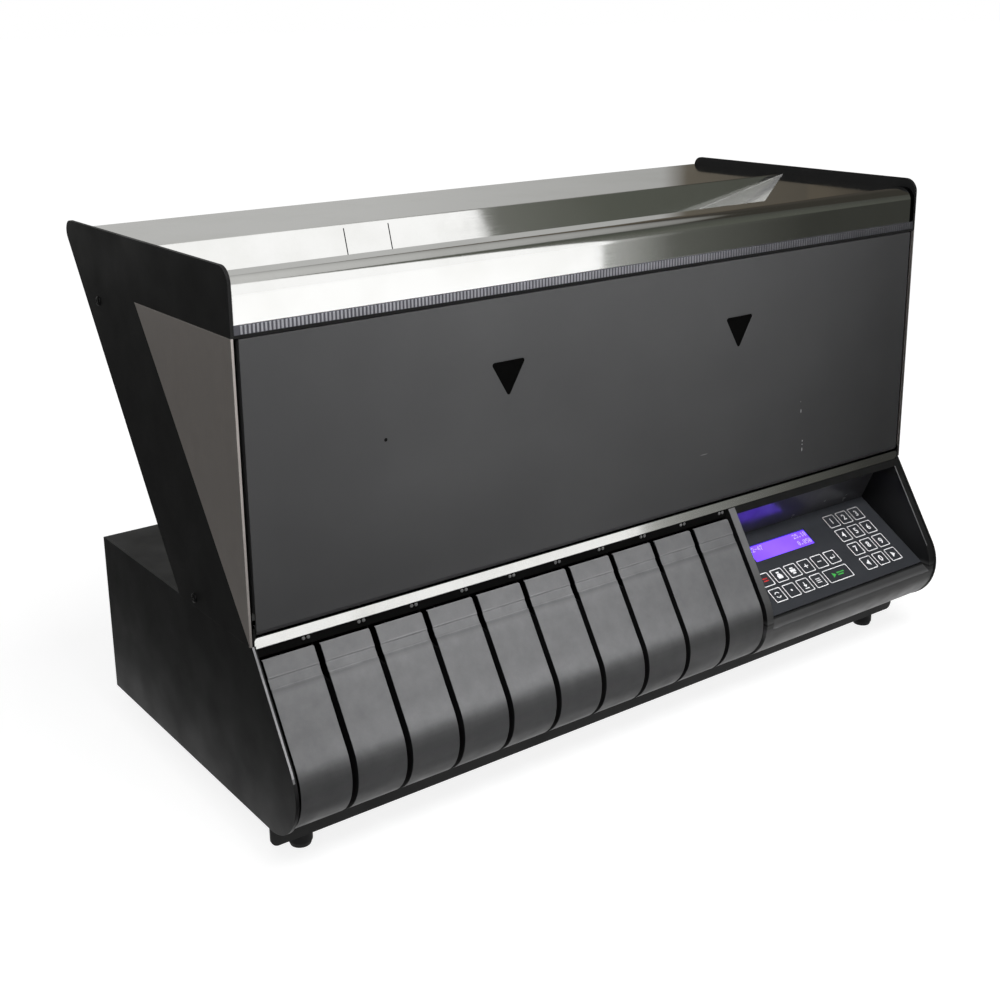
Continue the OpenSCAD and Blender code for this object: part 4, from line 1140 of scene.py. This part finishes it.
def glow_card(name, corners, direction, reach, stops):
    """A studio card that only polished faces see: its glow changes along one direction, given in metres."""
    mesh = bpy.data.meshes.new(name)
    mesh.from_pydata(corners, [], [tuple(range(len(corners)))])
    card = bpy.data.objects.new(name, mesh)
    scene.collection.objects.link(card)
    paint = Finish(name + "_paint", 1.0, specular=0.0)
    share = paint.grey_ramp(paint.along(paint.place, direction), 0, 1, *reach)
    paint.surface(paint.node("ShaderNodeEmission", {"Color": paint.ramp(share, stops)}).outputs[0])
    mesh.materials.append(paint.material)
    card.visible_camera = card.visible_diffuse = card.visible_shadow = card.visible_transmission = False


def lamp(name, at, aim, size, power):
    """A flat lamp that looks from one place at another."""
    data = bpy.data.lights.new(name, "AREA")
    data.shape = "RECTANGLE"
    data.size, data.size_y = size
    data.energy = power
    made = bpy.data.objects.new(name, data)
    made.location = at
    made.rotation_euler = (Vector(aim) - Vector(at)).to_track_quat("-Z", "Y").to_euler()
    scene.collection.objects.link(made)
    return made


def white_floor():
    """A pale floor that looks white, keeps the machine's shadow and throws little light back up."""
    reach = 40
    mesh = bpy.data.meshes.new("floor")
    mesh.from_pydata(level(-reach, -reach, reach, reach, 0), [], [(0, 1, 2, 3)])
    floor = bpy.data.objects.new("floor", mesh)
    scene.collection.objects.link(floor)
    paper = Finish("floor_paper", 0.9, specular=0.0)
    seen = paper.node("ShaderNodeLightPath").outputs
    mirrored = paper.add(seen["Is Glossy Ray"], seen["Is Transmission Ray"])
    shown = paper.add(seen["Is Camera Ray"], mirrored)
    paper.colour(paper.blend(shown, (0.16, 0.16, 0.16), (0.34, 0.34, 0.34)))
    glow = paper.multiply(shown, paper.grey_ramp(paper.length(paper.place), 0.86, 1.0, 0.5, 1.2))
    glow = paper.node("ShaderNodeEmission", {"Color": (1, 1, 1), "Strength": glow})
    both = paper.node("ShaderNodeAddShader", {0: paper.shader.outputs[0], 1: glow.outputs[0]})
    paper.surface(both.outputs[0])
    mesh.materials.append(paper.material)


def white_room():
    """White all round for the camera and for mirrors, and a dim light for the rest."""
    world = bpy.data.worlds.new("studio")
    scene.world = world
    world.use_nodes = True
    tree, made = Tree(world.node_tree), world.node_tree.nodes
    tree.feed(made["Background"].inputs["Color"], (0.98, 0.985, 1))
    tree.feed(made["Background"].inputs["Strength"], 0.1)
    white = tree.node("ShaderNodeBackground", {"Color": (1, 1, 1)})
    path = tree.node("ShaderNodeLightPath").outputs
    mirrored = tree.most(path["Is Glossy Ray"], path["Is Transmission Ray"])
    shown = tree.most(path["Is Camera Ray"], mirrored)
    links = {0: shown, 1: made["Background"].outputs[0], 2: white.outputs[0]}
    mix = tree.node("ShaderNodeMixShader", links)
    tree.feed(made["World Output"].inputs["Surface"], mix.outputs[0])


def studio():
    """Floor, room, lamps, and the cards that the steel mirrors."""
    white_floor()
    white_room()
    lamp("top_lamp", (-0.05, -0.55, 1.2), (-0.05, -0.2, 0), (0.8, 0.85), 16.5).visible_glossy = False
    lamp("left_lamp", (-0.95, -0.95, 1.45), (-0.1, -0.13, 0.35), (0.8, 0.8), 8)
    up, across, back, out_right = (0, 0, 1), (1, 0, 0), (0, 1, 0), (0.77, 0.637, 0)
    left_wall, right_wall, rear_wall = -1.7, 2.9, 2.2
    near_floor, shelf_foot, shelf_top, ceiling = 0.003, 0.68, 1.7, 3.2

    dim, near_black = (0.1, 0.1, 0.098), (0.02, 0.02, 0.018)
    left = upright(left_wall, -3, left_wall, 6, 0, 3)
    glow_card("card_left", left, up, (0, 1), [(0, dim), (1, near_black)])
    even = [(0, dim), (1, dim)]
    glow_card("card_left_floor", level(left_wall, -0.6, -0.42, 6, near_floor), up, (0, 1), even)
    glow_card("card_near_floor", level(-0.45, -0.42, 0.1, -0.19, near_floor), up, (0, 1), even)

    bright, grey, moss = (0.36, 0.365, 0.35), (0.2, 0.203, 0.19), (0.115, 0.117, 0.105)
    right_floor = [(x, y, near_floor) for x, y in ((0.109, -0.2), (2.425, -3), (7, -3), (7, -0.2))]
    fall = [
        (0, (0.62, 0.62, 0.6)), (0.1, (0.4, 0.405, 0.39)), (0.2, (0.31, 0.315, 0.3)),
        (0.4, grey), (0.62, moss), (0.95, (0.05, 0.05, 0.046)),
    ]
    glow_card("card_right_floor", right_floor, out_right, (-0.05, 0.32), fall)
    fade = [
        (0, bright), (0.06, (0.31, 0.315, 0.3)),
        (0.22, (0.095, 0.098, 0.087)), (0.69, (0.036, 0.037, 0.032)),
    ]
    right_end, right_split = 1.125, 0.6
    low_right = upright(right_end, -1.46, 5, -1.3, 0.004, right_split)
    glow_card("card_right_low", low_right, across, (right_end, 2.0), fade)
    olive = [(0, (0.14, 0.143, 0.128)), (0.3, (0.085, 0.09, 0.075)), (1, (0.06, 0.062, 0.054))]
    high_right = upright(right_end, -1.46, 5, -1.3, right_split, 4)
    glow_card("card_right_high", high_right, across, (right_end, 2.4), olive)
    dusk = [
        (0, (0.036, 0.034, 0.028)), (0.6, (0.052, 0.047, 0.04)), (0.8, (0.046, 0.041, 0.034)),
        (0.9, (0.09, 0.078, 0.06)),
    ]
    glow_card("card_far_right", upright(right_wall, -1.4, right_wall, 6, 0, 4), back, (0.5, 2.3), dusk)

    sky = [
        (0, (0.55, 0.55, 0.54)), (0.75, (0.3, 0.3, 0.29)), (0.93, (0.19, 0.19, 0.18)),
        (1, (0.07, 0.065, 0.055)),
    ]
    glow_card("card_over", level(-2, -1.4, right_wall, 6, ceiling), across, (1.0, right_wall), sky)
    ramp = [(0, (0.47, 0.47, 0.46)), (0.3, (0.5, 0.5, 0.49)), (0.5, (0.29, 0.295, 0.275))]
    low_rear = upright(-2, rear_wall, 5, rear_wall, 0.1, shelf_foot)
    glow_card("card_rear_low", low_rear, across, (0.4, 3.4), ramp)
    brown, umber = (0.11, 0.098, 0.078), (0.075, 0.067, 0.054)
    shelf = [
        (0, (0.48, 0.48, 0.47)), (0.25, (0.47, 0.47, 0.46)), (0.61, (0.37, 0.37, 0.36)), (0.645, brown),
        (0.85, umber),
    ]
    rear = upright(-2, rear_wall, 5, rear_wall, shelf_foot, shelf_top)
    glow_card("card_rear", rear, across, (0.4, 3.4), shelf)


photo_camera()
studio()
dress_nodes()
print_keys()
display_dots()
seal_ribs()
belt_ribs()
screws()
panel_marks()
hopper_seams()
switch_marks()
recess_lining()
